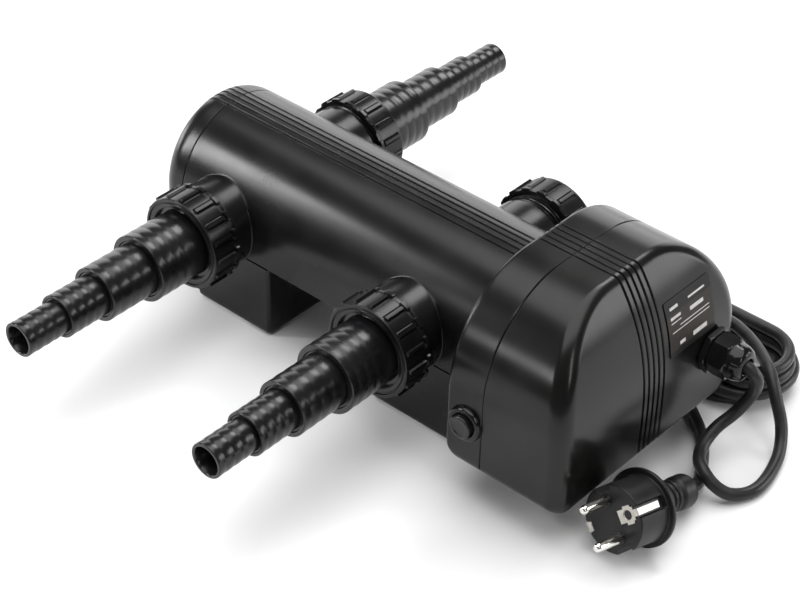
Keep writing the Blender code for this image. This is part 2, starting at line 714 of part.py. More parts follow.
def gland(black, rubber):
    axis = (1, 0, 0)
    origin = (0, GLAND_Y, GLAND_Z)
    body = [(0.0075, 0.2665), (0.0075, 0.2608), (0.0117, 0.2608), (0.0125, 0.2600), (0.0125, GLAND_FACE),
            (0.0080, GLAND_FACE), (0.0080, 0.2455), (0.0042, 0.2455), (0.0042, 0.2665)]
    turned("gland_body", body, black, origin, axis, 24)
    ring("gland_seal", 0.0041, 0.0070, (0.2668, GLAND_Y, GLAND_Z), (0.2705, GLAND_Y, GLAND_Z), rubber, 16)
    dome = [(0.2735, 0.0099), (0.2762, 0.0092), (0.2785, 0.0077), (GLAND_MOUTH, 0.0056)]
    rings = [hex_ring(0.2611, 0.0115), hex_ring(0.2712, 0.0115)]
    rings += [round_ring(x, radius) for x, radius in dome]
    inside = [(GLAND_MOUTH, 0.0042), (0.2745, 0.0042), (0.2715, 0.0079), (0.2611, 0.0079)]
    rings += [round_ring(x, radius) for x, radius in inside]
    loft("gland_nut", rings, black, "joined")
    front, rear = 0.2515, 0.2465
    rings = [hex_ring(front, 0.0120), hex_ring(rear, 0.0120)]
    rings += [round_ring(rear, 0.0083), round_ring(front, 0.0083)]
    loft("gland_locknut", rings, black, "joined")


def stadium(low, high):
    """Outline with round ends along X."""
    radius = (high[1] - low[1]) / 2
    middle = (high[1] + low[1]) / 2
    points = []
    for end, centre in ((-90, high[0] - radius), (90, low[0] + radius)):
        for index in range(13):
            angle = radians(end + 15 * index)
            points.append((centre + radius * cos(angle), middle + radius * sin(angle)))
    return points


def cable(rubber):
    tube("cord_main", smooth_route(MAIN_ROUTE, CORD_STEP), CORD_R, rubber)
    tube("cord_lead", smooth_route(LEAD_ROUTE, CORD_STEP), CORD_R, rubber)
    outline = stadium((HANK_X[0], HANK_Y[0]), (HANK_X[1], HANK_Y[1]))
    height = HANK_Z[1] - HANK_Z[0]
    hank = extruded("cord_hank", outline, height, rubber, (0, 0, HANK_Z[0] + height / 2), (0, 0, 0))
    strand_low = (STRAND_X[0], STRAND_Y[0], HANK_Z[1] - 0.002)
    strand = block("top_strand", strand_low, (STRAND_X[1], STRAND_Y[1], STRAND_TOP), rubber)
    join(hank, strand)
    half_tie = 0.0025
    past = 0.01
    low = Vector((TIE_X - half_tie, HANK_Y[0] - GAP, 0))
    high = Vector((TIE_X + half_tie, HANK_Y[1] + GAP, STRAND_TOP + GAP))
    thick = Vector((0, 0.001, 0.001))
    tie = block("hank_tie", low - thick + Vector((0, 0, 0.0015)), high + thick, rubber)
    opening = block("tie_opening", low - Vector((past, 0, past)), high + Vector((past, 0, 0)), rubber)
    cut(tie, opening)


def hold(part, frame):
    """Places a part in the plug's own frame."""
    part.parent = frame
    return part


def plug(black, steel):
    """Moulded mains plug. In its own frame the face is z = 0 and the pins stand along +Z."""
    frame = bpy.data.objects.new("plug_frame", None)
    MODEL.objects.link(frame)
    frame.location = PLUG_FACE
    turn = Matrix.Rotation(PLUG_TURN, 3, "Z") @ Matrix.Rotation(PLUG_TILT, 3, "X")
    frame.rotation_euler = (turn @ Matrix.Rotation(PLUG_ROLL, 3, "Z")).to_euler()
    up = (0, 0, 1)
    zero = (0, 0, 0)
    edge = 0.0012
    neck = RELIEF_START + GAP
    profile = [(0, 0), (PLUG_R - edge, 0), (PLUG_R, -edge), (PLUG_R, -0.0208), (PLUG_FLANGE_R, -0.0214),
               (PLUG_FLANGE_R, -0.0236), (0.0160, -0.0248), (0.0105, neck), (0, neck)]
    body = hold(turned("plug_body", profile, black, zero, up, 28), frame)
    pin_places = (-PIN_SPACING / 2, PIN_SPACING / 2)
    above = 0.002
    holes = [rod("pin_hole", PIN_R + GAP, (x, 0, -0.0055), (x, 0, above), black, 12) for x in pin_places]
    holes.append(rod("earth_hole", 0.0026, (0, EARTH_Y, -0.0105), (0, EARTH_Y, above), black, 12))
    for side in (-1, 1):
        edges = sorted((side * (STRIP_IN - GAP), side * (PLUG_R + 0.003)))
        slot_low = (-0.0031, edges[0], STRIP_END - 0.0004)
        holes.append(block("strip_slot", slot_low, (0.0031, edges[1], above), black))
    cut(body, *[hold(hole, frame) for hole in holes])
    pin = [(0, PIN_LENGTH), (0.0014, PIN_LENGTH - 0.0003), (0.0022, PIN_LENGTH - 0.0011),
           (PIN_R, PIN_LENGTH - 0.0025), (PIN_R, -0.0052), (0, -0.0052)]
    for index, x in enumerate(pin_places):
        hold(turned("plug_pin_%d" % (index + 1), pin, steel, (x, 0, 0), up, 12), frame)
    half_strip = 0.0027
    for index, side in enumerate((-1, 1)):
        edges = sorted((side * STRIP_IN, side * STRIP_OUT))
        low = (-half_strip, edges[0], STRIP_END)
        hold(block("earth_strip_%d" % (index + 1), low, (half_strip, edges[1], -0.0005), steel), frame)
    hold(ring("earth_contact", 0.0017, 0.0023, (0, EARTH_Y, -0.0100), (0, EARTH_Y, -0.0004), steel, 12), frame)
    relief = [(0, RELIEF_START), (PLUG_NECK_R, RELIEF_START), (PLUG_NECK_R, -0.0465), (0.0078, -0.0472),
              (0.0088, -0.0490), (0.0088, -0.0560), (0.0078, -0.0580), (0.0050, -0.0600), (0.0044, RELIEF_END),
              (0, RELIEF_END)]
    hold(turned("strain_relief", relief, black, zero, up, SMALL_STEPS), frame)


# ---------------------------------------------------------------- build

def build():
    black = paint("black plastic", (0.012, 0.012, 0.013), 0.35)
    rubber = paint("black rubber", (0.015, 0.015, 0.015), 0.7)
    steel = paint("nickel plated steel", (0.75, 0.74, 0.72), 0.25, metallic=1.0)
    white = paint("white plastic", (0.75, 0.75, 0.73), 0.45)
    glass = paint("quartz", (0.9, 0.93, 0.96), 0.05, transmission=0.9)
    paper = paint("printed label", (0.03, 0.03, 0.035), 0.4)
    reactor_body(black)
    end_cap(black)
    for name, span in FOOT_SPANS.items():
        foot(name, span, black)
    ports(black, rubber)
    casing_band(black)
    casing_cover(black)
    casing_screws(steel)
    lock(black, steel)
    label_plate(paper)
    lamp_unit(black, rubber, glass, white)
    electrics(steel, white, black)
    gland(black, rubber)
    cable(rubber)
    plug(black, steel)


clear_scene()
MODEL = collection("uv_clarifier")
CUTTERS = collection("cutters")
build()
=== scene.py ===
"""Pond UV clarifier: the visual model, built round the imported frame.

Metres, +Z up. X runs along the reactor towards the electrical casing, the ports point along Y.
The visible shells have no cuts where an opening can't be seen, as behind the lock ring.
"""
from math import asin, cos, floor, pi, radians, sin, sqrt

import bmesh
import bpy
from mathutils import Matrix, Vector


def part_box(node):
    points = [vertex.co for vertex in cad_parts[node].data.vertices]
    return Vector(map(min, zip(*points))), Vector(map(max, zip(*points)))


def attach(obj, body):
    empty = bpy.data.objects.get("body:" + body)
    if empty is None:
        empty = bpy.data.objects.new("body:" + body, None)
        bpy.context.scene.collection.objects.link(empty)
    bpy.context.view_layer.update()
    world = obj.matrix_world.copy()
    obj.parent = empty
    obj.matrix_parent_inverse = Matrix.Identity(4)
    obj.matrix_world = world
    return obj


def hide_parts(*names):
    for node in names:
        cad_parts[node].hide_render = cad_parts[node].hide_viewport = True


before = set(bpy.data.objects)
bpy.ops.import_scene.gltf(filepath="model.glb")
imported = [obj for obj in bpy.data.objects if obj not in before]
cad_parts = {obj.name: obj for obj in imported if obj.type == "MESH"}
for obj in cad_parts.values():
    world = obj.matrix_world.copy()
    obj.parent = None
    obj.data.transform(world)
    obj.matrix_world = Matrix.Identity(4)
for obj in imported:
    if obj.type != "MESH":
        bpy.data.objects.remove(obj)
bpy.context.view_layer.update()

HOUSING = "housing"
WELD = 0.000002                   # points nearer than this become one
SHORT_EDGE = 0.0000005

# Reactor, as in the CAD
TUBE_Z = 0.0614
BODY_R = 0.045
SKIRT_Z = 0.0454
BELLY_R = 0.0425
SEAM_X = -0.0295
SEAM_GAP = 0.0003
END_X = -0.047
END_ROUND = 0.012
END_LEAN = 0.0016                 # how far the end's top leans out and its bottom leans in
GROOVE_COUNT = 5
GROOVE_PITCH = 0.00412
GROOVE_WIDTH = 0.0019
GROOVE_DEPTH = 0.0012

# Ports
PORT_X = {"left": 0.0, "right": 0.1338}
SIDES = {"near": -1, "far": 1}
NECK_R = 0.0242
NECK_BORE_R = 0.0187
NECK_END = 0.066
NECK_FILLET = 0.0007
NECK_ROOT = 0.030                 # where a neck starts, inside the shell
NECK_MOUTH_ROUND = 0.0008
THREAD_START = 0.0555
THREAD_PITCH = 0.0023
THREAD_DEPTH = 0.0013
NUT_REAR = 0.0570
NUT_LIP = 0.0744
NUT_R = 0.0264
NUT_RIB_R = 0.0277
NUT_RIBS = 16
NUT_HOLE_R = 0.0212
NUT_INNER_R = 0.0247
TAIL_BASE = 0.0686
TAIL_STEPS = [(0.1872, 0.00952), (0.1612, 0.0119), (0.1359, 0.0152), (0.1054, 0.01905)]
TAIL_TIP = 0.1872
BARB_COUNT = 3
BARB_CUTS = 14
HUB_R = 0.0187
FLANGE_R = 0.0236
CAP_SHIFT = 0.0050

# Casing
CASING_REAR = 0.185
BAND_FRONT = 0.2072
COVER_REAR = 0.2075
FRONT_X = 0.2572
FRONT_FLAT_TOP = 0.042
FRONT_SWEEP = 0.021
FRONT_SWEEP_TOP = 0.121
FRONT_POWER = 2.8
CASING_HALF = 0.0729
CASING_TOP = 0.123
CASING_BASE = 0.0226
CROWN_HALF = 0.017
ARCH_Z = 0.0671
SIDE_ROUND = 0.0095
EDGE_ROUND = 0.0032
WALL = 0.003
SEAM_EDGE = 0.0004                # rounding of the edges along the casing's joint
LOCK_X = 0.1977
LOCK_Z = 0.0507

# Gland, plug and cable
GLAND_Y = 0.0485
GLAND_Z = 0.059
PLUG_FRAME = (Matrix.Translation((0.2777, -0.0561, 0.0257)) @ Matrix.Rotation(radians(-4.7), 4, "Z")
              @ Matrix.Rotation(radians(75.05), 4, "X") @ Matrix.Rotation(radians(-45.4), 4, "Z"))
PLUG_R = 0.0176
PLUG_FLANGE_R = 0.0204
PLUG_EARTH_Y = 0.0102             # the earth socket's distance from the plug's axis
STRAP_IN = 0.0161                 # the earth straps' inner and outer faces, from the plug's axis
STRAP_OUT = 0.0172
STRAP_END = -0.0158
STRAP_FRONT = 0.0006
STRAP_ROUND = 0.0003
CORD_R = 0.0034
MAIN_ROUTE = [
    (0.2752, 0.0484, 0.0596), (0.2796, 0.0484, 0.0588), (0.2834, 0.0489, 0.0563), (0.2851, 0.0503, 0.0509),
    (0.2824, 0.0519, 0.0410), (0.2772, 0.0475, 0.0290),
    (0.2726, 0.0375, 0.0217), (0.2730, 0.0264, 0.0174), (0.2772, 0.0175, 0.0160), (0.2840, 0.0128, 0.0144),
    (0.2905, 0.0125, 0.0103), (0.2966, 0.0158, 0.0062), (0.3012, 0.0224, 0.0040), (0.3040, 0.0300, 0.0036),
    (0.3038, 0.0400, 0.0036), (0.3006, 0.0535, 0.0037), (0.2968, 0.0634, 0.0058), (0.2912, 0.0712, 0.0134),
    (0.2838, 0.0755, 0.0236), (0.2742, 0.0827, 0.0312), (0.2624, 0.0923, 0.0314), (0.2518, 0.0989, 0.0312),
    (0.2425, 0.1029, 0.0312), (0.2342, 0.1048, 0.0312)]
LEAD_ROUTE = [
    (0.2275, 0.0702, 0.0036), (0.2360, 0.0648, 0.0036), (0.2470, 0.0570, 0.0036), (0.2580, 0.0480, 0.0036),
    (0.2660, 0.0385, 0.0036), (0.2718, 0.0300, 0.0038), (0.2763, 0.0225, 0.0046), (0.2800, 0.0160, 0.0060),
    (0.2822, 0.0102, 0.0079), (0.2827, 0.0050, 0.0094)]


# ---------------------------------------------------------------- camera

def placed(name, data):
    """An object of this data, in the scene."""
    made = bpy.data.objects.new(name, data)
    bpy.context.scene.collection.objects.link(made)
    return made


def make_camera():
    lens = bpy.data.cameras.new("camera")
    lens.lens = 99.06
    lens.sensor_width = 36.0
    camera = placed("camera", lens)
    across = Vector((0.74832, 0.66302, 0.02061))
    up = Vector((-0.41520, 0.44393, 0.79406))
    back = Vector((0.51733, -0.60277, 0.60749))
    turn = Matrix((across, up, back)).transposed().to_4x4()
    camera.matrix_world = Matrix.Translation((0.7051, -0.7158, 0.7511)) @ turn
    bpy.context.scene.camera = camera


# ---------------------------------------------------------------- shape helpers

def ease(t):
    t = max(0.0, min(1.0, t))
    return t * t * (3 - 2 * t)


def keep(name, mesh, look, body=HOUSING, nodes=(), angle=38, weighted=True):
    """Makes a piece of a mesh: welded, faces outward, shaded, riding on its body."""
    shape = bmesh.new()
    shape.from_mesh(mesh)
    bmesh.ops.remove_doubles(shape, verts=shape.verts, dist=WELD)
    bmesh.ops.dissolve_degenerate(shape, edges=shape.edges, dist=SHORT_EDGE)
    bmesh.ops.recalc_face_normals(shape, faces=shape.faces)
    shape.to_mesh(mesh)
    shape.free()
    mesh.shade_smooth()
    mesh.set_sharp_from_angle(angle=radians(angle))
    if not mesh.materials:
        mesh.materials.append(look)
    piece = placed(name, mesh)
    if weighted:
        even = piece.modifiers.new("even shading", "WEIGHTED_NORMAL")
        even.keep_sharp = True
    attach(piece, body)
    if nodes:
        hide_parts(*nodes)
    return piece


def skin(name, rings, ends="flat"):
    """A mesh over rings of equal size; its ends are flat caps, or "joined" to each other, or "open"."""
    count = len(rings[0])
    points = [tuple(point) for ring in rings for point in ring]
    faces = []
    rows = len(rings) if ends == "joined" else len(rings) - 1
    for row in range(rows):
        near = row * count
        far = (row + 1) % len(rings) * count
        for index in range(count):
            after = (index + 1) % count
            faces.append((near + index, near + after, far + after, far + index))
    if ends == "flat":
        faces.append(tuple(range(count))[::-1])
        faces.append(tuple(range(len(points) - count, len(points))))
    mesh = bpy.data.meshes.new(name)
    mesh.from_pydata(points, [], faces)
    return mesh


def aim(centre, direction):
    """A frame at centre whose Z points along direction."""
    return Matrix.Translation(Vector(centre)) @ Vector(direction).to_track_quat("Z", "Y").to_matrix().to_4x4()


def rounded(corners, cuts=4):
    """A polyline through (radius, height, rounding) corners, each rounded by that much."""
    line = []
    for index, (radius, height, rounding) in enumerate(corners):
        here = Vector((radius, height))
        if rounding == 0 or index in (0, len(corners) - 1):
            line.append(here)
            continue
        before = Vector(corners[index - 1][:2]) - here
        after = Vector(corners[index + 1][:2]) - here
        start = here + before.normalized() * min(rounding, before.length * 0.48)
        end = here + after.normalized() * min(rounding, after.length * 0.48)
        for cut in range(cuts + 1):
            t = cut / cuts
            line.append(start * (1 - t) ** 2 + here * 2 * t * (1 - t) + end * t ** 2)
    return line


def turned(name, profile, place, steps=96, shape=None, ends="flat"):
    """A turned mesh: profile holds (radius, height); shape(radius, height, angle) may change the
    radius round the axis. ends="joined" closes the profile on itself."""
    rings = []
    for radius, height in profile:
        ring = []
        for index in range(steps):
            angle = 2 * pi * index / steps
            reach = shape(radius, height, angle) if shape else radius
            ring.append(place @ Vector((reach * cos(angle), reach * sin(angle), height)))
        rings.append(ring)
    return skin(name, rings, ends)


def smooth_route(route, step):
    """Evenly spaced points on a Catmull-Rom curve through the route."""
    knots = [Vector(point) for point in route]
    knots = [2 * knots[0] - knots[1], *knots, 2 * knots[-1] - knots[-2]]
    fine = []
    for before, start, end, after in zip(knots, knots[1:], knots[2:], knots[3:]):
        for index in range(16):
            t = index / 16
            fine.append(0.5 * (2 * start + (end - before) * t
                               + (2 * before - 5 * start + 4 * end - after) * t ** 2
                               + (3 * start - before - 3 * end + after) * t ** 3))
    fine.append(knots[-2])
    length = sum((b - a).length for a, b in zip(fine, fine[1:]))
    count = round(length / step)
    points = [fine[0]]
    travelled = 0.0
    for a, b in zip(fine, fine[1:]):
        travelled += (b - a).length
        if travelled >= len(points) * length / count and len(points) < count:
            points.append(b)
    return [*points, fine[-1]]


def box_mesh(name, low, high, bevel, place=None, cuts=3):
    """A box between two corners with rounded edges."""
    low = Vector(low)
    high = Vector(high)
    shape = bmesh.new()
    bmesh.ops.create_cube(shape, size=1)
    stretch = Matrix.Translation((low + high) / 2) @ Matrix.Diagonal((*(high - low), 1))
    bmesh.ops.transform(shape, matrix=stretch, verts=shape.verts)
    bmesh.ops.bevel(shape, geom=shape.edges, offset=bevel, segments=cuts, profile=0.5, affect="EDGES")
    if place:
        bmesh.ops.transform(shape, matrix=place, verts=shape.verts)
    mesh = bpy.data.meshes.new(name)
    shape.to_mesh(mesh)
    shape.free()
    return mesh


def joined(name, meshes):
    """One mesh of several."""
    shape = bmesh.new()
    for part in meshes:
        shape.from_mesh(part)
    mesh = bpy.data.meshes.new(name)
    shape.to_mesh(mesh)
    shape.free()
    return mesh


# ---------------------------------------------------------------- materials

class Nodes:
    """A material under construction."""

    def __init__(self, name):
        self.material = bpy.data.materials.new(name)
        self.material.use_nodes = True
        self.tree = self.material.node_tree
        self.shader = self.tree.nodes["Principled BSDF"]
        self.place = self.add("ShaderNodeTexCoord").outputs["Object"]

    def add(self, kind, **settings):
        node = self.tree.nodes.new(kind)
        for key, value in settings.items():
            setattr(node, key, value)
        return node

    def link(self, start, end):
        self.tree.links.new(start, end)

    def noise(self, scale, detail=3.0, stretch=None):
        node = self.add("ShaderNodeTexNoise")
        node.inputs["Scale"].default_value = scale
        node.inputs["Detail"].default_value = detail
        place = self.place
        if stretch:
            mapping = self.add("ShaderNodeMapping")
            mapping.inputs["Scale"].default_value = stretch
            self.link(place, mapping.inputs["Vector"])
            place = mapping.outputs["Vector"]
        self.link(place, node.inputs["Vector"])
        return node.outputs["Fac"]

    def spread(self, value, low, high, out_low, out_high):
        node = self.add("ShaderNodeMapRange")
        for slot, number in zip(("From Min", "From Max", "To Min", "To Max"), (low, high, out_low, out_high)):
            node.inputs[slot].default_value = number
        self.link(value, node.inputs["Value"])
        return node.outputs["Result"]

    def sum(self, first, second):
        node = self.add("ShaderNodeMath", operation="ADD")
        for slot, value in enumerate((first, second)):
            self.link(value, node.inputs[slot])
        return node.outputs["Value"]

    def mix(self, amount, first, second):
        node = self.add("ShaderNodeMix", data_type="RGBA")
        self.link(amount, node.inputs["Factor"])
        for slot, value in (("A", first), ("B", second)):
            socket = next(one for one in node.inputs if one.name == slot and one.type == "RGBA")
            if isinstance(value, tuple):
                socket.default_value = (*value, 1.0)
            else:
                self.link(value, socket)
        return next(one for one in node.outputs if one.type == "RGBA")

    def mottled(self, scale, detail, high, dark, light, low=0.35):
        """A colour that wanders between two."""
        return self.mix(self.spread(self.noise(scale, detail), low, high, 0.0, 1.0), dark, light)

    def patches(self, scale, detail, least, most):
        """A value that wanders between two."""
        return self.spread(self.noise(scale, detail), 0.3, 0.7, least, most)

    def edges(self, low, high, amount):
        """How worn the outer edges are, from the surface's own curvature."""
        return self.spread(self.add("ShaderNodeNewGeometry").outputs["Pointiness"], low, high, 0.0, amount)

    def bump(self, height, strength, distance, normal=None):
        node = self.add("ShaderNodeBump")
        node.inputs["Strength"].default_value = strength
        node.inputs["Distance"].default_value = distance
        self.link(height, node.inputs["Height"])
        if normal:
            self.link(normal, node.inputs["Normal"])
        return node.outputs["Normal"]

    def finish(self, colour=None, roughness=None, normal=None, **fixed):
        for slot, value in (("Base Color", colour), ("Roughness", roughness), ("Normal", normal)):
            if value is not None:
                self.link(value, self.shader.inputs[slot])
        for slot, value in fixed.items():
            self.shader.inputs[slot.replace("_", " ")].default_value = value
        return self.material


def moulded(name, dark, light, smooth, rough, grain=0.03, specular=0.30, worn=(0.030, 0.030, 0.031)):
    """Moulded plastic: faint mottling, handled patches in the gloss, fine grain, rubbed edges."""
    made = Nodes(name)
    colour = made.mix(made.edges(0.54, 0.64, 0.6), made.mottled(55, 4, 0.68, dark, light), worn)
    handled = made.patches(28, 2, smooth, rough)
    speck = made.patches(900, 2, -0.002, 0.002)
    flow = made.bump(made.noise(24, 1, (0.35, 1, 1)), 0.05, 0.0010)
    fine = made.bump(made.noise(1500, 2), grain, 0.00003, flow)
    return made.finish(colour, made.sum(handled, speck), fine, Specular_IOR_Level=specular)


def soft_rubber(name, dark, light, rough, grain):
    """Rubber or soft PVC: a dull skin with fine pores and dust."""
    made = Nodes(name)
    colour = made.mottled(120, 5, 0.7, dark, light)
    gloss = made.patches(60, 4, rough - 0.08, rough + 0.08)
    normal = made.bump(made.noise(1800, 3), grain, 0.00006)
    return made.finish(colour, gloss, normal, Specular_IOR_Level=0.30)


def plated(name, colour, tint, smooth, rough, brush=0.06):
    """Nickel or zinc plate: faint brushing, stains and fine scratches."""
    made = Nodes(name)
    shade = made.mottled(240, 4, 0.7, colour, tint)
    gloss = made.patches(500, 3, smooth, rough)
    brushed = made.bump(made.noise(900, 2, (0.15, 1, 1)), brush, 0.00006)
    return made.finish(shade, gloss, brushed, Metallic=1.0)


def clear_quartz(name):
    made = Nodes(name)
    haze = made.patches(90, 3, 0.02, 0.10)
    ripple = made.bump(made.noise(45, 2, (0.2, 1, 1)), 0.05, 0.0004)
    return made.finish(None, haze, ripple, Base_Color=(0.93, 0.96, 0.98, 1), Transmission_Weight=0.95,
                       IOR=1.46)


def printed(name, dark, light, rough):
    """Ink on a satin film."""
    made = Nodes(name)
    colour = made.mottled(300, 4, 0.7, dark, light, 0.3)
    gloss = made.patches(80, 3, rough - 0.05, rough + 0.05)
    normal = made.bump(made.noise(700, 2), 0.04, 0.00008)
    return made.finish(colour, gloss, normal, Specular_IOR_Level=0.2)


LOOKS = {}


def make_looks():
    LOOKS["shell"] = moulded("satin black shell", (0.0035, 0.0034, 0.0034), (0.0065, 0.0062, 0.0060),
                             0.24, 0.29, 0.012)
    LOOKS["casing"] = moulded("satin black casing", (0.0035, 0.0034, 0.0032), (0.0070, 0.0066, 0.0062),
                              0.20, 0.26, 0.015)
    LOOKS["fitting"] = moulded("black fittings", (0.0040, 0.0040, 0.0046), (0.0085, 0.0085, 0.0094),
                               0.22, 0.28, 0.03, 0.42)
    LOOKS["nut"] = moulded("black union nuts", (0.0038, 0.0038, 0.0040), (0.0080, 0.0080, 0.0082),
                           0.20, 0.30, 0.05)
    LOOKS["gloss"] = moulded("glossy black nylon", (0.0040, 0.0040, 0.0042), (0.0080, 0.0080, 0.0080),
                             0.10, 0.17, 0.02)
    LOOKS["matt"] = moulded("matt black plug", (0.0050, 0.0050, 0.0052), (0.0105, 0.0105, 0.0107),
                            0.36, 0.46, 0.10)
    LOOKS["rubber"] = soft_rubber("black seal rubber", (0.010, 0.010, 0.010), (0.022, 0.022, 0.021),
                                  0.62, 0.20)
    LOOKS["cord"] = soft_rubber("black rubber cable", (0.0120, 0.0120, 0.0126), (0.0250, 0.0250, 0.0255),
                                0.38, 0.10)
    LOOKS["tie"] = soft_rubber("black hook tape", (0.006, 0.006, 0.006), (0.020, 0.020, 0.020), 0.80, 0.60)
    LOOKS["nickel"] = plated("nickel plate", (0.80, 0.78, 0.75), (0.66, 0.64, 0.61), 0.14, 0.22, 0.008)
    LOOKS["strap"] = plated("dull nickel strap", (0.58, 0.56, 0.52), (0.46, 0.44, 0.40), 0.34, 0.46, 0.03)
    LOOKS["zinc"] = plated("zinc plated steel", (0.62, 0.62, 0.61), (0.48, 0.47, 0.45), 0.24, 0.40)
    LOOKS["white"] = moulded("white ceramic plastic", (0.66, 0.65, 0.61), (0.78, 0.77, 0.74),
                             0.30, 0.45, 0.06, 0.5, (0.84, 0.84, 0.82))
    LOOKS["quartz"] = clear_quartz("clear quartz")
    LOOKS["label_black"] = printed("label black ink", (0.004, 0.004, 0.004), (0.008, 0.008, 0.008), 0.42)
    LOOKS["label_field"] = printed("label grey ink", (0.018, 0.014, 0.011), (0.026, 0.020, 0.016), 0.44)
    LOOKS["label_light"] = printed("label light ink", (0.46, 0.45, 0.43), (0.62, 0.61, 0.59), 0.44)


# ---------------------------------------------------------------- cable

def hank_state(radius, middle, height, left, right):
    return {"radius": radius, "middle": middle, "height": height, "left": left, "right": right}


def run(start, end, ease_from, ease_to, count=11):
    """A straight stretch; y and z change between two shares of its way."""
    points = []
    for index in range(count + 1):
        t = index / count
        s = ease((t - ease_from) / (ease_to - ease_from))
        points.append((start[0] + (end[0] - start[0]) * t, start[1] + (end[1] - start[1]) * s,
                       start[2] + (end[2] - start[2]) * s))
    return points


def end_turn(state, side):
    """Half a turn round the left or right end of the hank, seen from above against the clock."""
    first = 90 if side == "left" else -90
    points = []
    for index in range(1, 12):
        angle = radians(first + 15 * index)
        x = state[side] + state["radius"] * cos(angle)
        points.append((x, state["middle"] + state["radius"] * sin(angle), state["height"]))
    return points


def corner(state, end, side):
    """Where a straight stretch meets an end turn."""
    y = state["middle"] + state["radius"] * (1 if side == "far" else -1)
    return (state[end], y, state["height"])


def cable_route():
    """Gland to loop to the top of the hank, down through its turns, and out to the plug."""
    top = hank_state(0.0205, 0.1010, 0.0242, 0.094, 0.2500)
    third = hank_state(0.0205, 0.1012, 0.0174, 0.091, 0.2510)
    outer = hank_state(0.0273, 0.1035, 0.0105, 0.090, 0.2450)
    inner = hank_state(0.0205, 0.1035, 0.0105, 0.090, 0.2450)
    low_inner = hank_state(0.0205, 0.1035, 0.0036, 0.090, 0.2400)
    low_outer = hank_state(0.0273, 0.1035, 0.0036, 0.090, 0.2360)
    entry = MAIN_ROUTE[-1]
    points = list(MAIN_ROUTE[:-1])
    points += run(entry, corner(top, "left", "far"), 0.0, 1.0)
    far_windows = [(0.62, 0.95), (0.42, 0.75), (0.22, 0.55), (0.02, 0.35)]
    states = [top, third, outer, inner, low_inner]
    for state, following, window in zip(states, states[1:], far_windows):
        points += end_turn(state, "left")
        points += run(corner(state, "left", "near"), corner(state, "right", "near"), 0, 1)
        points += end_turn(state, "right")
        points += run(corner(state, "right", "far"), corner(following, "left", "far"), *window)
    points += end_turn(low_inner, "left")
    points += run(corner(low_inner, "left", "near"), corner(low_outer, "right", "near"), 0.55, 1.0)
    points += end_turn(low_outer, "right")
    points += run(corner(low_outer, "right", "far"), corner(low_outer, "left", "far"), 0, 1)
    points += end_turn(low_outer, "left")
    points += run(corner(low_outer, "left", "near"), (0.172, 0.0758, 0.0036), 0.3, 1.0, 6)
    points += [(0.1880, 0.0752, 0.0036), (0.2030, 0.0738, 0.0036), (0.2165, 0.0728, 0.0036)]
    return points + LEAD_ROUTE


def make_cord():
    points = smooth_route(cable_route(), 0.0028)
    curve = bpy.data.curves.new("mains_cable", "CURVE")
    curve.dimensions = "3D"
    curve.bevel_depth = CORD_R
    curve.bevel_resolution = 6
    curve.use_fill_caps = True
    spline = curve.splines.new("POLY")
    spline.points.add(len(points) - 1)
    for knot, point in zip(spline.points, points):
        knot.co = (*point, 1)
    spline.use_smooth = True
    curve.materials.append(LOOKS["cord"])
    cord = placed("mains_cable", curve)
    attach(cord, HOUSING)
    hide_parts("cord_main", "cord_lead", "cord_hank")
    return cord


def make_tie():
    """Hook-and-loop strap round the hank, with its overlapping end."""
    low_y, high_y, low_z, high_z = 0.0722, 0.1348, 0.0002, 0.0352
    centre_x, half_width, thick, corner_r = 0.176, 0.0048, 0.0010, 0.009
    rings = []
    corners = [(high_y, high_z, 0), (low_y, high_z, 90), (low_y, low_z, 180), (high_y, low_z, 270)]
    path = []
    for y, z, first in corners:
        inward = (-1 if y == high_y else 1, -1 if z == high_z else 1)
        centre = (y + inward[0] * corner_r, z + inward[1] * corner_r)
        for index in range(7):
            angle = radians(first + 15 * index)
            path.append((centre[0] + corner_r * cos(angle), centre[1] + corner_r * sin(angle), angle))
    section = ((-1, 0.2), (-0.92, 0.0), (0.92, 0.0), (1, 0.2), (1, 0.8), (0.92, 1.0), (-0.92, 1.0), (-1, 0.8))
    for y, z, angle in path:
        out = Vector((0, cos(angle), sin(angle)))
        rings.append([Vector((centre_x + x * half_width, y, z)) - out * depth * thick
                      for x, depth in section])
    tie = skin("hank_strap", rings, "joined")
    tie = keep("hank_strap", tie, LOOKS["tie"], nodes=["hank_tie"])
    near_corner = (centre_x - half_width, 0.084, high_z)
    far_corner = (centre_x + half_width, 0.112, high_z + 0.0009)
    keep("strap_end", box_mesh("strap_end", near_corner, far_corner, 0.0003), LOOKS["tie"])
    return tie


# ---------------------------------------------------------------- reactor

def groove_share(y):
    """1 at the bottom of a groove, 0 between grooves, with rounded shoulders."""
    for index in range(GROOVE_COUNT):
        centre = (index - (GROOVE_COUNT - 1) / 2) * GROOVE_PITCH
        off = abs(y - centre) / (GROOVE_WIDTH / 2)
        if off < 1:
            return ease(1 - max(0.0, (off - 0.25) / 0.75))
    return 0.0


def groove_columns():
    """y of the points across the groove band, from +Y to -Y."""
    columns = []
    for index in range(GROOVE_COUNT):
        centre = ((GROOVE_COUNT - 1) / 2 - index) * GROOVE_PITCH
        for share in (1.0, 0.82, 0.6, 0.38, 0.2, 0, -0.2, -0.38, -0.6, -0.82, -1.0):
            columns.append(centre + share * GROOVE_WIDTH / 2)
    return columns


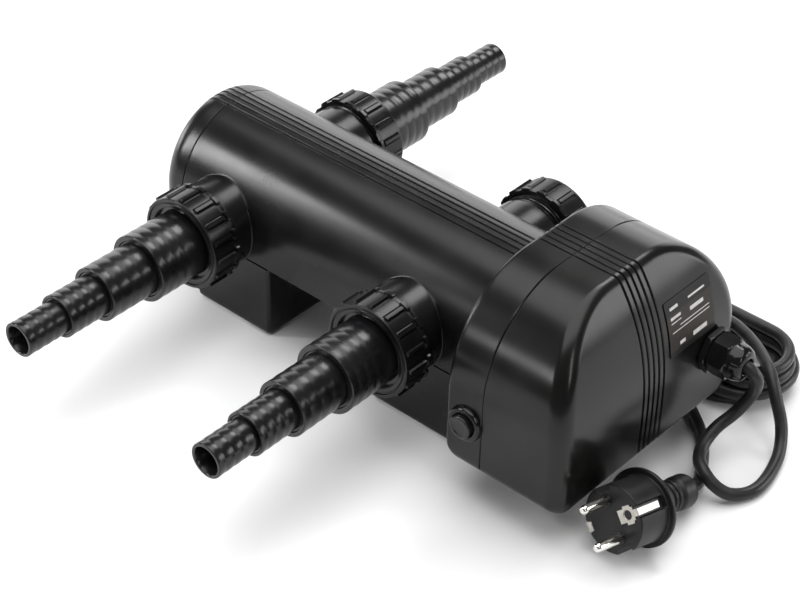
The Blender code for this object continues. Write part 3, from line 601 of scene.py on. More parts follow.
def body_section(inset):
    """Tube section as (y, z, groove share), set in by this much all round."""
    radius = BODY_R - inset
    section = []
    edge = groove_columns()[0] + 0.0006
    stop = asin(edge / radius)
    for index in range(41):
        angle = (pi / 2 - stop) * index / 40
        section.append((radius * cos(angle), TUBE_Z + radius * sin(angle), 0.0))
    for y in groove_columns():
        section.append((y, TUBE_Z + sqrt(radius ** 2 - y ** 2), groove_share(y)))
    section += [(-y, z, 0.0) for y, z, _ in section[40::-1]]
    skirt = SKIRT_Z + inset
    belly = BELLY_R - inset
    half = sqrt(belly ** 2 - (TUBE_Z - skirt) ** 2)
    tuck = asin((TUBE_Z - skirt) / belly)
    low = [(-radius, skirt + 0.0012, 0), (-radius + 0.0003, skirt + 0.0004, 0),
           (-radius + 0.0012, skirt, 0), (-half, skirt, 0)]
    section += low
    for index in range(1, 32):
        angle = pi + tuck + (pi - 2 * tuck) * index / 32
        section.append((belly * cos(angle), TUBE_Z + belly * sin(angle), 0.0))
    section += [(-y, z, 0) for y, z, _ in low[::-1]]
    return section


def body_ring(x, inset, tilt, grooves=1.0):
    """The section at x; tilt turns the groove's depth from downward (0) to along the tube (90)."""
    depth = GROOVE_DEPTH * grooves
    back = depth * sin(radians(tilt))
    down = depth * cos(radians(tilt))
    ring = []
    for y, z, share in body_section(inset):
        lean = END_LEAN * (z - TUBE_Z) / BODY_R * (x - SEAM_X) / (SEAM_X - END_X) if x < SEAM_X else 0.0
        ring.append(Vector((x + lean + share * back, y, z - share * down)))
    return ring


def seam_rings(x, way):
    """The rounded edge on one side of the joint with the left end; way is 1 on the tube, -1 on the end."""
    seam = 0.0004
    return [body_ring(x, 0.002, 0), body_ring(x, seam, 0), body_ring(x + way * seam * 0.35, seam * 0.3, 0),
            body_ring(x + way * seam, 0, 0)]


def make_reactor():
    """The tube and its left end, as closed outer forms: the chamber inside isn't drawn."""
    rings = seam_rings(SEAM_X, 1)
    rings += [body_ring(SEAM_X + 0.005 + 0.0209 * index, 0, 0) for index in range(11)]
    keep("reactor_shell", skin("reactor_shell", rings), LOOKS["shell"], nodes=["reactor_body"])
    rings = seam_rings(SEAM_X - SEAM_GAP, -1)
    for index in range(13):
        angle = 7.5 * index
        back = END_ROUND * (1 - sin(radians(angle)))
        rings.append(body_ring(END_X + back, END_ROUND * (1 - cos(radians(angle))), angle))
    for step, fade in ((0.0015, 1.0), (0.0035, 0.9), (0.0055, 0.5), (0.0070, 0.12), (0.0080, 0.0)):
        rings.append(body_ring(END_X, END_ROUND + step, 90, fade))
    keep("reactor_end", skin("reactor_end", rings), LOOKS["shell"], nodes=["end_cap"])


def thread(distance, angle, start, end, root, crest):
    """Radius of a rounded thread at this distance along and angle round the neck."""
    turn = (distance - start) / THREAD_PITCH - angle / (2 * pi)
    phase = abs((turn - floor(turn)) * 2 - 1)
    fade = ease((distance - start) / 0.001) * ease((end - distance) / 0.0008)
    return root + (crest - root) * ease((phase - 0.25) / 0.5) * fade


def make_neck(name, x, side):
    """A port neck: a fillet off the shell, a smooth collar, the thread, and the mouth of a blind bore."""
    steps = 96

    def point(radius, distance, angle):
        return Vector((x + radius * cos(angle), side * distance, TUBE_Z + radius * sin(angle)))

    def surface(radius, angle):
        rise = max(0.0, radius * sin(angle))
        return sqrt(BODY_R ** 2 - rise ** 2)

    turns = [2 * pi * index / steps for index in range(steps)]

    def ring(radius, distance):
        return [point(radius, distance, angle) for angle in turns]

    def shell_ring(radius, lift, least=0.0):
        return [point(radius, max(surface(radius, angle) + lift, least), angle) for angle in turns]

    rings = [ring(NECK_R - 0.004, NECK_ROOT), shell_ring(NECK_R + NECK_FILLET, -0.0012)]
    for index in range(7):
        share = radians(15 * index)
        rings.append(shell_ring(NECK_R + NECK_FILLET * (1 - sin(share)), NECK_FILLET * (1 - cos(share))))
    rings += [shell_ring(NECK_R, NECK_FILLET + 0.0005, 0.0510), ring(NECK_R, THREAD_START - 0.0012),
              ring(NECK_R - 0.0002, THREAD_START - 0.0006)]
    rows = 32
    end = NECK_END - NECK_MOUTH_ROUND
    for index in range(rows + 1):
        distance = THREAD_START + (end - THREAD_START) * index / rows
        radii = [thread(distance, angle, THREAD_START, end, NECK_R - THREAD_DEPTH, NECK_R) for angle in turns]
        rings.append([point(radius, distance, angle) for radius, angle in zip(radii, turns)])
    rings += [ring(NECK_R - 0.0018, NECK_END), ring(NECK_BORE_R + 0.0005, NECK_END),
              ring(NECK_BORE_R, NECK_END - 0.0006), ring(NECK_BORE_R, 0.036)]
    keep(name, skin(name, rings), LOOKS["shell"])


def port_at(x, side, distance):
    """A frame on a port's axis whose Z points outward."""
    return aim((x, side * distance, TUBE_Z), (0, side, 0))


def make_foot(name):
    """A box foot with rounded lower edges and a shallow recess beneath; its hollow isn't drawn."""
    low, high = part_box(name)
    middle = (low + high) / 2
    half = (high - low) / 2
    foot_round = 0.0042
    vertical_round = 0.0022

    def outline(inset, z):
        radius = max(0.0008, vertical_round - inset * 0.3)
        points = []
        for turn, (sx, sy) in enumerate(((1, 1), (-1, 1), (-1, -1), (1, -1))):
            x = middle.x + sx * (half.x - inset - radius)
            centre = Vector((x, middle.y + sy * (half.y - inset - radius), z))
            for index in range(6):
                angle = radians(90 * turn + 18 * index)
                points.append(centre + Vector((radius * cos(angle), radius * sin(angle), 0)))
        return points

    rings = [outline(0.003, high.z), outline(0.0, high.z), outline(0.0, high.z - 0.004)]
    rings.append(outline(0, foot_round + 0.002))
    for index in range(7):
        angle = radians(15 * index)
        rings.append(outline(foot_round * (1 - cos(angle)), foot_round * (1 - sin(angle))))
    rings += [outline(0.0068, 0.0), outline(0.0074, 0.0003), outline(0.0078, 0.0020)]
    keep(name + "_moulding", skin(name + "_visual", rings), LOOKS["shell"], nodes=[name])


# ---------------------------------------------------------------- fittings

def make_nut(place, x, side, shift):
    """Union nut: raised bars round a smooth ring, a notched rear collar and a double-ringed lip."""
    name = "union_nut_" + place
    height = NUT_LIP - NUT_REAR
    bar_half = 0.0011
    bar_start = 0.0030
    bar_stop = height - 0.0017
    trench_width, trench_depth = 0.0011, 0.0006
    notch_half = 0.0024
    flank = 0.00028
    period = 2 * pi / NUT_RIBS

    def outer(radius, level, angle):
        if radius < NUT_R - 0.0009:
            return radius
        off = abs((angle + period / 2) % period - period / 2) * NUT_R
        along = ease((level - bar_start) / 0.0003) * ease((bar_stop - level) / 0.0003)
        bar = ease(1 - (off - bar_half + flank / 2) / flank) * along
        collar = ease(1 - (level - 0.0021) / 0.0004) * ease(level / 0.0002 + 0.2)
        off_middle = abs(angle % period - period / 2) * NUT_R
        notch = ease(1 - (off_middle - notch_half + flank) / (flank * 2))
        lift = max(bar, collar * (1 - 0.85 * notch))
        trench = ease((off - bar_half) / 0.0003) * ease((bar_half + trench_width - off) / 0.0005)
        return radius + (NUT_RIB_R - NUT_R) * lift - trench_depth * along * trench

    levels = [0.0, 0.0002, 0.0006, 0.0012, 0.0019, 0.0021, 0.0023, 0.0025, 0.0028, 0.0030, 0.00315, 0.0033,
              0.0036]
    levels += [0.0036 + (height - 0.0059) * share / 6 for share in range(1, 7)]
    levels += [height - 0.0020, height - 0.00185, height - 0.0017, height - 0.0015]
    ring_in = NUT_R - 0.0017
    profile = [Vector((NUT_INNER_R, 0.0)), Vector((NUT_R - 0.0008, 0.0))]
    profile += [Vector((NUT_R, level)) for level in levels]
    valley = height - 0.0008
    under_lip = height - 0.0026
    profile += rounded([(NUT_R, height - 0.0013, 0), (NUT_R, height, 0.0006), (ring_in, height, 0.0003),
                        (ring_in - 0.0002, valley, 0.0002), (ring_in - 0.0010, valley, 0.0002),
                        (ring_in - 0.0012, height - 0.0001, 0.0003), (NUT_HOLE_R, height - 0.0003, 0.0004),
                        (NUT_HOLE_R, under_lip, 0.0003), (NUT_INNER_R, under_lip, 0.0003),
                        (NUT_INNER_R, 0.0004, 0)])[1:]
    mesh = turned(name, profile, port_at(x, side, NUT_REAR + shift), 24 * NUT_RIBS, outer, "joined")
    keep(name + "_moulding", mesh, LOOKS["nut"], name, [name], angle=30)


def tail_profile():
    """Outer line of a stepped tail from tip to flange, as (radius, distance from the centreline)."""
    barb_depth = 0.00024
    swell = 0.00015
    line = []
    for index, (face, bare_radius) in enumerate(TAIL_STEPS):
        radius = bare_radius + swell
        last = index + 1 == len(TAIL_STEPS)
        end = NUT_LIP + 0.0042 if last else TAIL_STEPS[index + 1][0]
        if index:
            previous = TAIL_STEPS[index - 1][1]
            line += [(previous - 0.0002, face + 0.0002), (previous - 0.0001, face - 0.0009),
                     (previous + 0.0006, face - 0.0009), (previous + 0.0011, face - 0.0002)]
        rim = 0.0006
        for step in range(5):
            angle = radians(22.5 * step)
            line.append((radius - rim * (1 - sin(angle)), face - rim * (1 - cos(angle))))
        first = face - 0.0016
        line.append((radius, first))
        plain = 0.0062
        pitch = (first - end - plain) / BARB_COUNT
        for barb in range(BARB_COUNT):
            for step in range(1, BARB_CUTS + 1):
                share = step / BARB_CUTS
                dip = (1 - abs(cos(pi * share))) * barb_depth
                line.append((radius - dip - 0.00004 * (barb + share), first - pitch * (barb + share)))
        line.append((radius - 0.0003, end + plain - 0.0014))
        line.append((radius - 0.0004, end + 0.0012))
        if last:
            line += [(radius - 0.0005, end), (HUB_R, end - 0.0006)]
    return line


def make_tail(place, x, side):
    name = "hose_tail_" + place
    outer = [(radius, distance - TAIL_BASE) for radius, distance in tail_profile()]
    flange_top = 0.0715 - TAIL_BASE
    outer += [(HUB_R, flange_top + 0.0003), (HUB_R + 0.0003, flange_top), (FLANGE_R, flange_top)]
    outer.append((FLANGE_R, 0.0))
    tip = TAIL_TIP - TAIL_BASE
    bore = 0.0076
    inner = [(0.0155, 0.0), (0.0152, 0.001), (0.0105, 0.055), (bore, 0.0926), (bore, tip - 0.0006),
             (0.0080, tip - 0.0001)]
    profile = [Vector(pair) for pair in outer + inner]
    mesh = turned(name, profile, port_at(x, side, TAIL_BASE), ends="joined")
    keep(name + "_moulding", mesh, LOOKS["fitting"], nodes=[name], angle=44, weighted=False)


def make_blank(x, side):
    name = "blanking_cap"
    flange_top = 0.0765 - TAIL_BASE
    face = NUT_LIP + CAP_SHIFT - TAIL_BASE
    dish = face - 0.0012
    rim_r, recess_r = 0.0202, 0.016
    profile = rounded([(0.0, dish, 0), (0.0145, dish, 0.0004), (0.0152, face, 0.0004), (rim_r, face, 0.0008),
                       (rim_r, flange_top, 0.0002), (FLANGE_R, flange_top, 0.0003), (FLANGE_R, 0.0, 0.0003),
                       (recess_r, 0.0, 0.0002), (recess_r, 0.004, 0.0003), (0.0, 0.004, 0)])
    mesh = turned(name, profile, port_at(x, side, TAIL_BASE), ends="open")
    keep(name + "_moulding", mesh, LOOKS["fitting"], nodes=[name])


def make_ports():
    for end, x in PORT_X.items():
        for near, side in SIDES.items():
            place = near + "_" + end
            make_neck("port_neck_" + place, x, side)
            blanked = place == "far_right"
            make_nut(place, x, side, CAP_SHIFT if blanked else 0)
            if blanked:
                make_blank(x, side)
            else:
                make_tail(place, x, side)


# ---------------------------------------------------------------- casing

def front_x(z):
    rise = max(0.0, z - FRONT_FLAT_TOP) / (FRONT_SWEEP_TOP - FRONT_FLAT_TOP)
    return FRONT_X - FRONT_SWEEP * rise ** FRONT_POWER


def casing_side(side_inset, edge_inset, lift=0.0):
    """Half of the casing's section, base to crown, as (y, z, side share)."""
    half = CASING_HALF - side_inset
    base = CASING_BASE + edge_inset + lift
    top = CASING_TOP - edge_inset
    fillet = 0.0055
    points = []
    for index in range(7):
        angle = radians(15 * index - 90)
        points.append((half - fillet * (1 - cos(angle)), base + fillet * (1 + sin(angle)), cos(angle)))
    for index in range(1, 8):
        start = base + fillet
        points.append((half, start + (ARCH_Z - start) * index / 8, 1.0))
    for index in range(31):
        angle = radians(3 * index)
        y = CROWN_HALF + (half - CROWN_HALF) * cos(angle)
        points.append((y, ARCH_Z + (top - ARCH_Z) * sin(angle), cos(angle)))
    return points


def crown_columns():
    """y of the points across the crown and across every row of the front."""
    return [0.0150, 0.0125, 0.0100, *groove_columns(), -0.0100, -0.0125, -0.0150]


def at(x):
    """A place for casing_ring() that is the same all round."""
    return lambda z, side: x


def casing_ring(place, side_inset, edge_inset, tilt=0.0, grooves=1.0, lift=0.0):
    """A full ring round the casing; place gives x from a point's height and side share, and tilt
    turns the depth of the crown's grooves from downward (0) to backward (90)."""
    half = casing_side(side_inset, edge_inset, lift)
    depth = GROOVE_DEPTH * grooves
    back = depth * sin(radians(tilt))
    down = depth * cos(radians(tilt))
    top = half[-1][1]
    base = half[0][1]
    crown = []
    floor_row = []
    for y in crown_columns():
        share = groove_share(y)
        crown.append(Vector((place(top, 0) - share * back, y, top - share * down)))
        floor_row.append(Vector((place(base, 0) - share * back, y, base)))
    right = [Vector((place(z, side), y, z)) for y, z, side in half]
    left = [Vector((place(z, side), -y, z)) for y, z, side in half]
    return right + crown + left[::-1] + floor_row[::-1]


def joint_rings(x, way):
    """The rounded edge along the casing's joint; way points from x into the half."""
    return [casing_ring(at(x + way * SEAM_EDGE), 0, 0), casing_ring(at(x), SEAM_EDGE, SEAM_EDGE, 0, 0.8),
            casing_ring(at(x), WALL, WALL, 0, 0)]


def front_grid(mesh_points, faces, ring_start, half_count, back, side_inset, edge_inset, grooves, flip):
    """Fills the front between the right and left halves of a ring with rows that carry the grooves."""
    columns = crown_columns()
    count = len(columns)
    half = casing_side(side_inset, edge_inset)
    rows = []
    for index in range(half_count):
        right = ring_start + index
        left = ring_start + 2 * half_count + count - 1 - index
        if index == half_count - 1:
            rows.append([right, *range(ring_start + half_count, ring_start + half_count + count), left])
            continue
        if index == 0:
            first = ring_start + 2 * half_count + count
            rows.append([right, *range(first + count - 1, first - 1, -1), left])
            continue
        z = half[index][1]
        row = [right]
        for y in columns:
            row.append(len(mesh_points))
            mesh_points.append((front_x(z) - back - groove_share(y) * GROOVE_DEPTH * grooves, y, z))
        rows.append([*row, left])
    for low, high in zip(rows, rows[1:]):
        for index in range(len(low) - 1):
            face = (low[index], low[index + 1], high[index + 1], high[index])
            faces.append(face[::-1] if flip else face)


def make_cover():
    """The casing's front half: a shell with rounded front edges and grooves that turn at the crest."""
    def outside(angle):
        back = 1 - sin(radians(angle))
        return lambda z, side: front_x(z) - (side * SIDE_ROUND + (1 - side) * EDGE_ROUND) * back

    def between(share):
        return lambda z, side: outside(0)(z, side) * (1 - share) + COVER_REAR * share

    rings = []
    for angle in (90, 78, 66, 54, 42, 30, 18, 8, 0):
        inset = 1 - cos(radians(angle))
        rings.append(casing_ring(outside(angle), SIDE_ROUND * inset, EDGE_ROUND * inset, angle))
    for share in (0.2, 0.45, 0.7):
        rings.append(casing_ring(between(share), 0, 0))
    rings += joint_rings(COVER_REAR, 1)
    rings.append(casing_ring(lambda z, side: front_x(z) - WALL - 0.001 - 0.005 * side, WALL, WALL, 0, 0))
    side_room = WALL + 0.005
    edge_room = WALL + 0.001
    rings.append(casing_ring(lambda z, side: front_x(z) - WALL, side_room, edge_room, 0, 0))
    mesh = skin("casing_front", rings, "open")
    points = [tuple(vertex.co) for vertex in mesh.vertices]
    faces = [tuple(face.vertices) for face in mesh.polygons]
    half_count = len(casing_side(0, 0))
    count = len(rings[0])
    front_grid(points, faces, 0, half_count, 0.0, SIDE_ROUND, EDGE_ROUND, 1.0, False)
    inner_start = (len(rings) - 1) * count
    front_grid(points, faces, inner_start, half_count, WALL, side_room, edge_room, 0.0, True)
    mesh = bpy.data.meshes.new("casing_front")
    mesh.from_pydata(points, [], faces)
    keep("casing_front", mesh, LOOKS["casing"], nodes=["casing_cover"])


def make_band():
    """The casing's rear half, with the rounded lower corner."""
    corner_x, corner_z = 0.0075, 0.0100

    def lift(x):
        share = max(0.0, min(1.0, 1 - (x - CASING_REAR) / corner_x))
        return corner_z * (1 - sqrt(1 - share ** 2))

    rings = []
    rear_round = 0.0022
    for index in range(6):
        angle = radians(18 * index)
        x = CASING_REAR + rear_round * (1 - sin(pi / 2 - angle))
        inset = rear_round * (1 - cos(pi / 2 - angle))
        rings.append(casing_ring(at(x), inset, inset, 0, ease(index / 5), lift(x) * 0.8))
    for step in (0.0035, 0.0045, 0.0055, 0.0065, 0.0075, 0.0130):
        x = CASING_REAR + step
        rings.append(casing_ring(at(x), 0, 0, 0, 1, lift(x) * 0.8))
    rings += joint_rings(BAND_FRONT, -1)
    rings.append(casing_ring(at(CASING_REAR + WALL), WALL, WALL, 0, 0))
    keep("casing_rear", skin("casing_rear", rings), LOOKS["casing"], nodes=["casing_band"])


def make_lock():
    out = aim((LOCK_X, 0, LOCK_Z), (0, -1, 0))
    ring = rounded([(0.0069, 0.0640, 0), (0.0069, 0.0755, 0.0004), (0.0092, 0.0755, 0.0010),
                    (0.0099, 0.0740, 0.0006), (0.0101, 0.0729, 0.0001), (0.0082, 0.0729, 0.0001),
                    (0.0082, 0.0625, 0.0001), (0.0033, 0.0625, 0.0001), (0.0033, 0.0640, 0)])
    mesh = turned("lock_bezel", ring, out, 64, ends="joined")
    keep("lock_bezel", mesh, LOOKS["gloss"], nodes=["lock_ring"])
    button = rounded([(0, 0.0776, 0), (0.0040, 0.0777, 0.0008), (0.0046, 0.0783, 0.0005),
                      (0.0064, 0.0783, 0.0010), (0.0064, 0.0700, 0.0002), (0.0029, 0.0700, 0.0001),
                      (0.0029, 0.0600, 0.0002), (0, 0.0600, 0)])
    mesh = turned("lock_push", button, out, 64, ends="open")
    keep("lock_push", mesh, LOOKS["fitting"], "lock_button", ["lock_button"])


INKS = ("label_black", "label_field", "label_light")


def label_ink(y_share, z_share):
    """Which of INKS a cell of the label has: plain bars only."""
    bars = [
        (0.10, 0.27, 0.83, 0.88), (0.50, 0.86, 0.84, 0.87), (0.08, 0.30, 0.66, 0.72),
        (0.08, 0.30, 0.60, 0.615), (0.50, 0.80, 0.62, 0.68), (0.26, 0.90, 0.50, 0.515),
        (0.08, 0.90, 0.43, 0.445), (0.08, 0.90, 0.36, 0.375), (0.22, 0.34, 0.15, 0.21),
        (0.52, 0.82, 0.14, 0.22)]
    for low_y, high_y, low_z, high_z in bars:
        if low_y <= y_share < high_y and low_z <= z_share < high_z:
            return INKS.index("label_light")
    return INKS.index("label_black" if z_share > 0.76 or z_share < 0.10 else "label_field")


def make_label():
    """A thin plate that follows the front, printed with bars."""
    low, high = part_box("label_plate")
    columns, rows = 74, 60
    radius = 0.0012

    def point(column, row, back):
        y_share = column / columns
        z_share = row / rows
        y = low.y + (high.y - low.y) * y_share
        z = low.z + (high.z - low.z) * z_share
        return (front_x(z) + back, y, z)

    def middle(column, row):
        return (column + 0.5) / columns, (row + 0.5) / rows

    def clipped(y_share, z_share):
        dy = max(0.0, abs(y_share - 0.5) * (high.y - low.y) - (high.y - low.y) / 2 + radius)
        dz = max(0.0, abs(z_share - 0.5) * (high.z - low.z) - (high.z - low.z) / 2 + radius)
        return dy * dy + dz * dz > radius * radius

    shape = bmesh.new()
    grids = []
    for back in (0.0003, 0.0006):
        grids.append([[shape.verts.new(point(column, row, back)) for row in range(rows + 1)]
                      for column in range(columns + 1)])
    cells = [(column, row) for column in range(columns) for row in range(rows)]
    inside = {cell for cell in cells if not clipped(*middle(*cell))}
    for column, row in sorted(inside):
        corners = ((column, row), (column + 1, row), (column + 1, row + 1), (column, row + 1))
        for grid in grids:
            face = shape.faces.new([grid[across][along] for across, along in corners])
            face.material_index = label_ink(*middle(column, row))
        sides = ((corners[0], corners[3], (-1, 0)), (corners[1], corners[2], (1, 0)),
                 (corners[0], corners[1], (0, -1)), (corners[3], corners[2], (0, 1)))
        for start, end, away in sides:
            if (column + away[0], row + away[1]) not in inside:
                shape.faces.new((grids[0][start[0]][start[1]], grids[0][end[0]][end[1]],
                                 grids[1][end[0]][end[1]], grids[1][start[0]][start[1]]))
    bmesh.ops.delete(shape, geom=[vertex for vertex in shape.verts if not vertex.link_faces], context="VERTS")
    mesh = bpy.data.meshes.new("rating_label")
    shape.to_mesh(mesh)
    shape.free()
    for ink in INKS:
        mesh.materials.append(LOOKS[ink])
    keep("rating_label", mesh, LOOKS["label_black"], nodes=["label_plate"], weighted=False)


# ---------------------------------------------------------------- gland and plug

def hexagon(corner_r):
    """shape() for turned(): cuts the turned form to a hexagon with corners at this radius."""
    return lambda radius, height, angle: min(radius, corner_r * cos(pi / 6) / cos(angle % (pi / 3) - pi / 6))


def make_gland():
    body_at = aim((0, GLAND_Y, GLAND_Z), (1, 0, 0))
    flange_r, nut_r = 0.0128, 0.0117
    body = rounded([(0.0042, 0.2455, 0), (0.0080, 0.2455, 0.0003), (0.0080, 0.2575, 0.0001),
                    (0.0122, 0.2575, 0.0001), (flange_r, 0.2580, 0.0003), (flange_r, 0.2602, 0.0004),
                    (0.0120, 0.2608, 0.0003), (0.0075, 0.2608, 0.0002), (0.0075, 0.2665, 0.0003),
                    (0.0042, 0.2665, 0.0002)])
    mesh = turned("gland_flange", body, body_at, 96, hexagon(flange_r), "joined")
    keep("gland_flange", mesh, LOOKS["fitting"], nodes=["gland_body"], angle=28)
    nut = rounded([(0.0079, 0.2611, 0), (0.0106, 0.2611, 0.0002), (nut_r, 0.2618, 0.0005),
                   (nut_r, 0.2706, 0.0005), (0.0103, 0.2714, 0.0003), (0.0100, 0.2724, 0.0004),
                   (0.0098, 0.2752, 0.0016), (0.0086, 0.2786, 0.0022), (0.0060, 0.2797, 0.0008),
                   (0.0047, 0.2796, 0.0004), (0.0043, 0.2788, 0.0002), (0.0043, 0.2745, 0.0002),
                   (0.0079, 0.2715, 0.0002), (0.0079, 0.2612, 0)], 6)
    hexagon_top, dome_start = 0.2716, 0.2736
    thread_room_r, lip_r = 0.0085, 0.0050
    fingers, finger_groove = 6, 0.0003

    def facets(radius, height, angle):
        """A hexagon below, and a dome with shallow grooves between its fingers above."""
        if height <= hexagon_top:
            return hexagon(nut_r)(radius, height, angle) if radius > thread_room_r else radius
        if radius < lip_r:
            return radius
        groove = 1 - ease(abs(cos(angle * fingers / 2)) / 0.12)
        reach = ease((height - dome_start) / 0.0016) * ease((radius - lip_r) / 0.0020)
        return radius - finger_groove * groove * reach

    mesh = turned("gland_cap", nut, body_at, 180, facets, "joined")
    keep("gland_cap", mesh, LOOKS["gloss"], "gland_nut", ["gland_nut"], angle=28)


def make_plug():
    """Moulded plug with two guide trays, earth slots, earth plate and two pins."""
    half_pin = 0.0095
    tray_half, tray_floor, tray_end = 0.0050, 0.0143, -0.0170
    slot_half, slot_floor, slot_end = 0.0030, 0.0155, -0.0201
    tray_rings, slot_rings = 0.0138, 0.0150     # only rings wider than these are cut

    def outline(radius, height, angle):
        """Guide trays across the pins' sides and slots for the earth strips."""
        x = radius * cos(angle)
        y = radius * sin(angle)
        if radius > slot_rings and height > slot_end and abs(x) < slot_half:
            return min(radius, slot_floor / max(0.2, abs(sin(angle))))
        if radius > tray_rings and height > tray_end and abs(y) < tray_half:
            return min(radius, tray_floor / max(0.2, abs(cos(angle))))
        return radius

    rows = [(0.0, 0.0, 0), (0.0110, 0.0, 0), (0.0137, 0.0, 0), (PLUG_R, 0.0, 0.0009)]
    rows += [(PLUG_R, height, 0) for height in (-0.0012, -0.0100, -0.0166, -0.0173, -0.0198, -0.0204)]
    rows += [(PLUG_R + 0.0002, -0.0212, 0.0004), (PLUG_FLANGE_R - 0.0002, -0.0214, 0.0006),
             (PLUG_FLANGE_R, -0.0225, 0.0008), (PLUG_FLANGE_R - 0.0003, -0.0238, 0.0006),
             (0.0165, -0.0246, 0.0010), (0.0125, -0.0262, 0.0016), (0.0098, -0.0285, 0.0010),
             (0.0080, -0.0292, 0.0004), (0.0, -0.0292, 0)]
    body = turned("plug_moulding", rounded(rows), PLUG_FRAME, 192, outline, "open")
    keep("plug_moulding", body, LOOKS["matt"], nodes=["plug_body"], angle=34)
    pin_r, pin_tip, pin_root = 0.0024, 0.0187, -0.0050
    pin = rounded([(0, pin_tip, 0), (0.0017, pin_tip, 0.0012), (pin_r, 0.0170, 0.0010),
                   (pin_r, pin_root, 0.0002), (0, pin_root, 0)])
    collar = rounded([(pin_r, 0.0, 0), (pin_r, 0.0007, 0.0001), (0.0032, 0.0007, 0.0003), (0.0034, 0.0, 0)])
    pieces = []
    for index, x in enumerate((-half_pin, half_pin)):
        pin_at = PLUG_FRAME @ Matrix.Translation((x, 0, 0))
        name = "pin_%d" % (index + 1)
        mesh = turned(name, pin, pin_at, 40, ends="open")
        pieces.append(keep(name, mesh, LOOKS["nickel"], nodes=["plug_" + name]))
        mesh = turned("pin_collar", collar, pin_at, 40, ends="joined")
        pieces.append(keep("pin_collar_%d" % (index + 1), mesh, LOOKS["gloss"]))
    pieces.append(make_earth_plate())
    pieces.append(make_earth_strip())
    return pieces


def flat_plate(name, outline, low, high, hole):
    """A plate in the plug's frame from an outline, with a hole as a matching outline."""
    rings = []
    for line, z, inset in ((hole, low, 0), (outline, low, 0), (outline, high - 0.00015, 0),
                           (outline, high, 0.00015), (hole, high, 0)):
        middle = sum((Vector(point) for point in line), Vector((0, 0))) / len(line)
        ring = []
        for point in line:
            off = Vector(point) - middle
            scale = 1 - inset / max(off.length, 0.001)
            flat = middle + off * scale
            ring.append(PLUG_FRAME @ Vector((flat.x, flat.y, z)))
        rings.append(ring)
    return skin(name, rings, "joined")


def make_earth_plate():
    """Notched earth plate round its socket, with the strip that folds down the plug's side."""
    hole_r = 0.0026
    strip_half = 0.0018
    body_half, wing_half = 0.0034, 0.0047
    right = [(body_half, -0.0058), (body_half, -0.0018), (wing_half, -0.0018), (wing_half, 0.0028),
             (body_half, 0.0028), (body_half, 0.0040), (strip_half, 0.0040), (strip_half, 0.0066)]
    outline = right + [(-x, y) for x, y in right[::-1]]
    points = []
    for index, (x, y) in enumerate(outline):
        after = outline[(index + 1) % len(outline)]
        for share in (0.0, 0.5):
            points.append((x + (after[0] - x) * share, y + (after[1] - y) * share))
    hole = []
    for x, y in points:
        direction = Vector((x, y)).normalized()
        hole.append((direction.x * hole_r, PLUG_EARTH_Y + direction.y * hole_r))
    plate = [(x, y + PLUG_EARTH_Y) for x, y in points]
    face = flat_plate("face", plate, -0.0002, 0.0006, hole)
    strap = box_mesh("strap", (-strip_half, STRAP_IN, STRAP_END), (strip_half, STRAP_OUT, STRAP_FRONT),
                     STRAP_ROUND, PLUG_FRAME)
    socket_r, socket_end = 0.0019, -0.0100
    line = rounded([(hole_r, 0.0003, 0), (hole_r + 0.0003, -0.0002, 0), (0.0025, socket_end, 0),
                    (socket_r, socket_end, 0), (socket_r, -0.0008, 0)])
    socket = turned("socket", line, PLUG_FRAME @ Matrix.Translation((0, PLUG_EARTH_Y, 0)), 24, ends="joined")
    return keep("earth_plate", joined("earth_plate", [face, strap, socket]), LOOKS["strap"],
                nodes=["earth_contact", "earth_strip_2"], angle=30)


def make_earth_strip():
    """The second earth strip: an angled end on the face and a leg down its slot."""
    half = 0.0025
    leg = ((-half, -STRAP_OUT, STRAP_END), (half, -STRAP_IN, STRAP_FRONT))
    fold = ((-half, -0.0171, -0.0002), (half, -0.0138, STRAP_FRONT))
    boxes = [box_mesh("part", low, high, STRAP_ROUND, PLUG_FRAME) for low, high in (leg, fold)]
    return keep("earth_strap", joined("earth_strap", boxes), LOOKS["strap"], nodes=["earth_strip_1"],
                angle=30)


def make_relief():
    """Ribbed cable sleeve behind the plug: rings, a barrel collar and a short taper."""
    corners = [(0.0, -0.0290, 0), (0.0076, -0.0290, 0)]
    ring_count, first, pitch = 5, -0.0294, 0.0034
    for index in range(ring_count):
        top = first - pitch * index
        corners += [(0.0082, top - 0.0003, 0.0003), (0.0086, top - 0.0020, 0.0005),
                    (0.0070, top - 0.0024, 0.0002), (0.0070, top - 0.0031, 0.0002)]
    corners += [(0.0076, -0.0468, 0.0004), (0.0088, -0.0482, 0.0012), (0.0089, -0.0560, 0.0014),
                (0.0078, -0.0582, 0.0010), (0.0052, -0.0596, 0.0008), (0.0046, -0.0622, 0.0004),
                (0.0037, -0.0636, 0), (0.0, -0.0636, 0)]
    mesh = turned("cable_sleeve", rounded(corners, 3), PLUG_FRAME, 64, ends="open")
    return keep("cable_sleeve", mesh, LOOKS["matt"], nodes=["strain_relief"])


# ---------------------------------------------------------------- carried-over CAD nodes

def finish_nodes():
    """Gives every CAD node that still shows its own finish."""
    finishes = {
        "rubber": ["port_seal_near_left", "port_seal_near_right", "port_seal_far_left", "port_seal_far_right",
                   "main_seal", "sleeve_oring", "gland_seal"],
        "zinc": ["casing_screw_1", "casing_screw_2", "casing_screw_3", "casing_screw_4", "lock_spring",
                 "lock_clip", "ballast"],
        "white": ["lamp_base", "lamp_socket", "terminal_block"],
        "quartz": ["quartz_sleeve", "uvc_lamp"],
        "fitting": ["lamp_flange", "sleeve_nut", "interlock_switch", "gland_locknut"],
    }
    for look, names in finishes.items():
        for name in names:
            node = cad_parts[name]
            node.material_slots[0].link = "OBJECT"
            node.material_slots[0].material = LOOKS[look]


# ---------------------------------------------------------------- stage

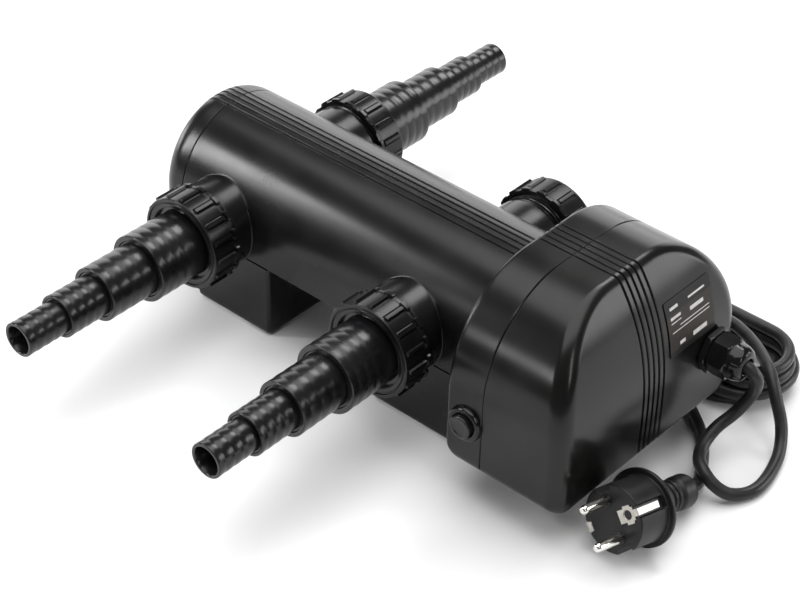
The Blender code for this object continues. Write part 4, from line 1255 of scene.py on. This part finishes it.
def make_stage():
    mesh = bpy.data.meshes.new("floor")
    reach = 12.0
    corners = [(-reach, -reach, 0), (reach, -reach, 0), (reach, reach, 0), (-reach, reach, 0)]
    mesh.from_pydata(corners, [], [(0, 1, 2, 3)])
    made = Nodes("pale floor")
    tone = made.mottled(3, 2, 0.7, (0.86, 0.86, 0.86), (0.88, 0.88, 0.88), 0.3)
    mesh.materials.append(made.finish(tone, None, None, Roughness=0.9, Specular_IOR_Level=0.1))
    placed("floor", mesh)
    world = bpy.data.worlds.new("studio")
    world.use_nodes = True
    background = world.node_tree.nodes["Background"]
    background.inputs["Color"].default_value = (1, 1, 1, 1)
    background.inputs["Strength"].default_value = 0.16
    bpy.context.scene.world = world
    lights = [
        ("overhead", (0.0, 0.1, 3.2), (0.1, 0.0, 0.0), (3.4, 3.4), 114),
        ("key_strip", (-0.80, -0.78, 0.69), (0.0, 0.0, 0.06), (0.16, 0.50), 9),
        ("back_box", (-0.05, 1.05, 1.35), (0.1, 0.0, 0.05), (0.7, 0.3), 7),
        ("side_box", (1.27, 1.07, 0.47), (0.15, 0.0, 0.06), (0.9, 0.6), 9),
        ("backdrop", (-1.30, 1.85, 0.65), (0.0, 0.0, 0.08), (3.0, 1.2), 26),
        ("low_box", (-0.33, -1.12, 0.55), (0.24, -0.07, 0.09), (0.18, 0.18), 1.3),
        ("left_box", (-1.25, -0.12, 0.14), (0.0, 0.0, 0.08), (0.45, 0.25), 3.0),
        ("front_strip", (1.45, -0.30, 0.95), (0.25, 0.0, 0.08), (0.12, 0.7), 2.5),
    ]
    for name, place, target, size, power in lights:
        lamp = bpy.data.lights.new(name, "AREA")
        lamp.shape = "RECTANGLE"
        lamp.size, lamp.size_y = size
        lamp.energy = power
        light = placed(name, lamp)
        light.location = place
        light.rotation_euler = (Vector(place) - Vector(target)).to_track_quat("Z", "Y").to_euler()
    bpy.context.scene.view_settings.view_transform = "Standard"


# ---------------------------------------------------------------- build

make_camera()
make_looks()
cord = make_cord()
make_tie()
relief = make_relief()
plug_pieces = make_plug()
make_reactor()
make_foot("foot_left")
make_foot("foot_right")
make_ports()
make_cover()
make_band()
make_lock()
make_label()
make_gland()
finish_nodes()
make_stage()
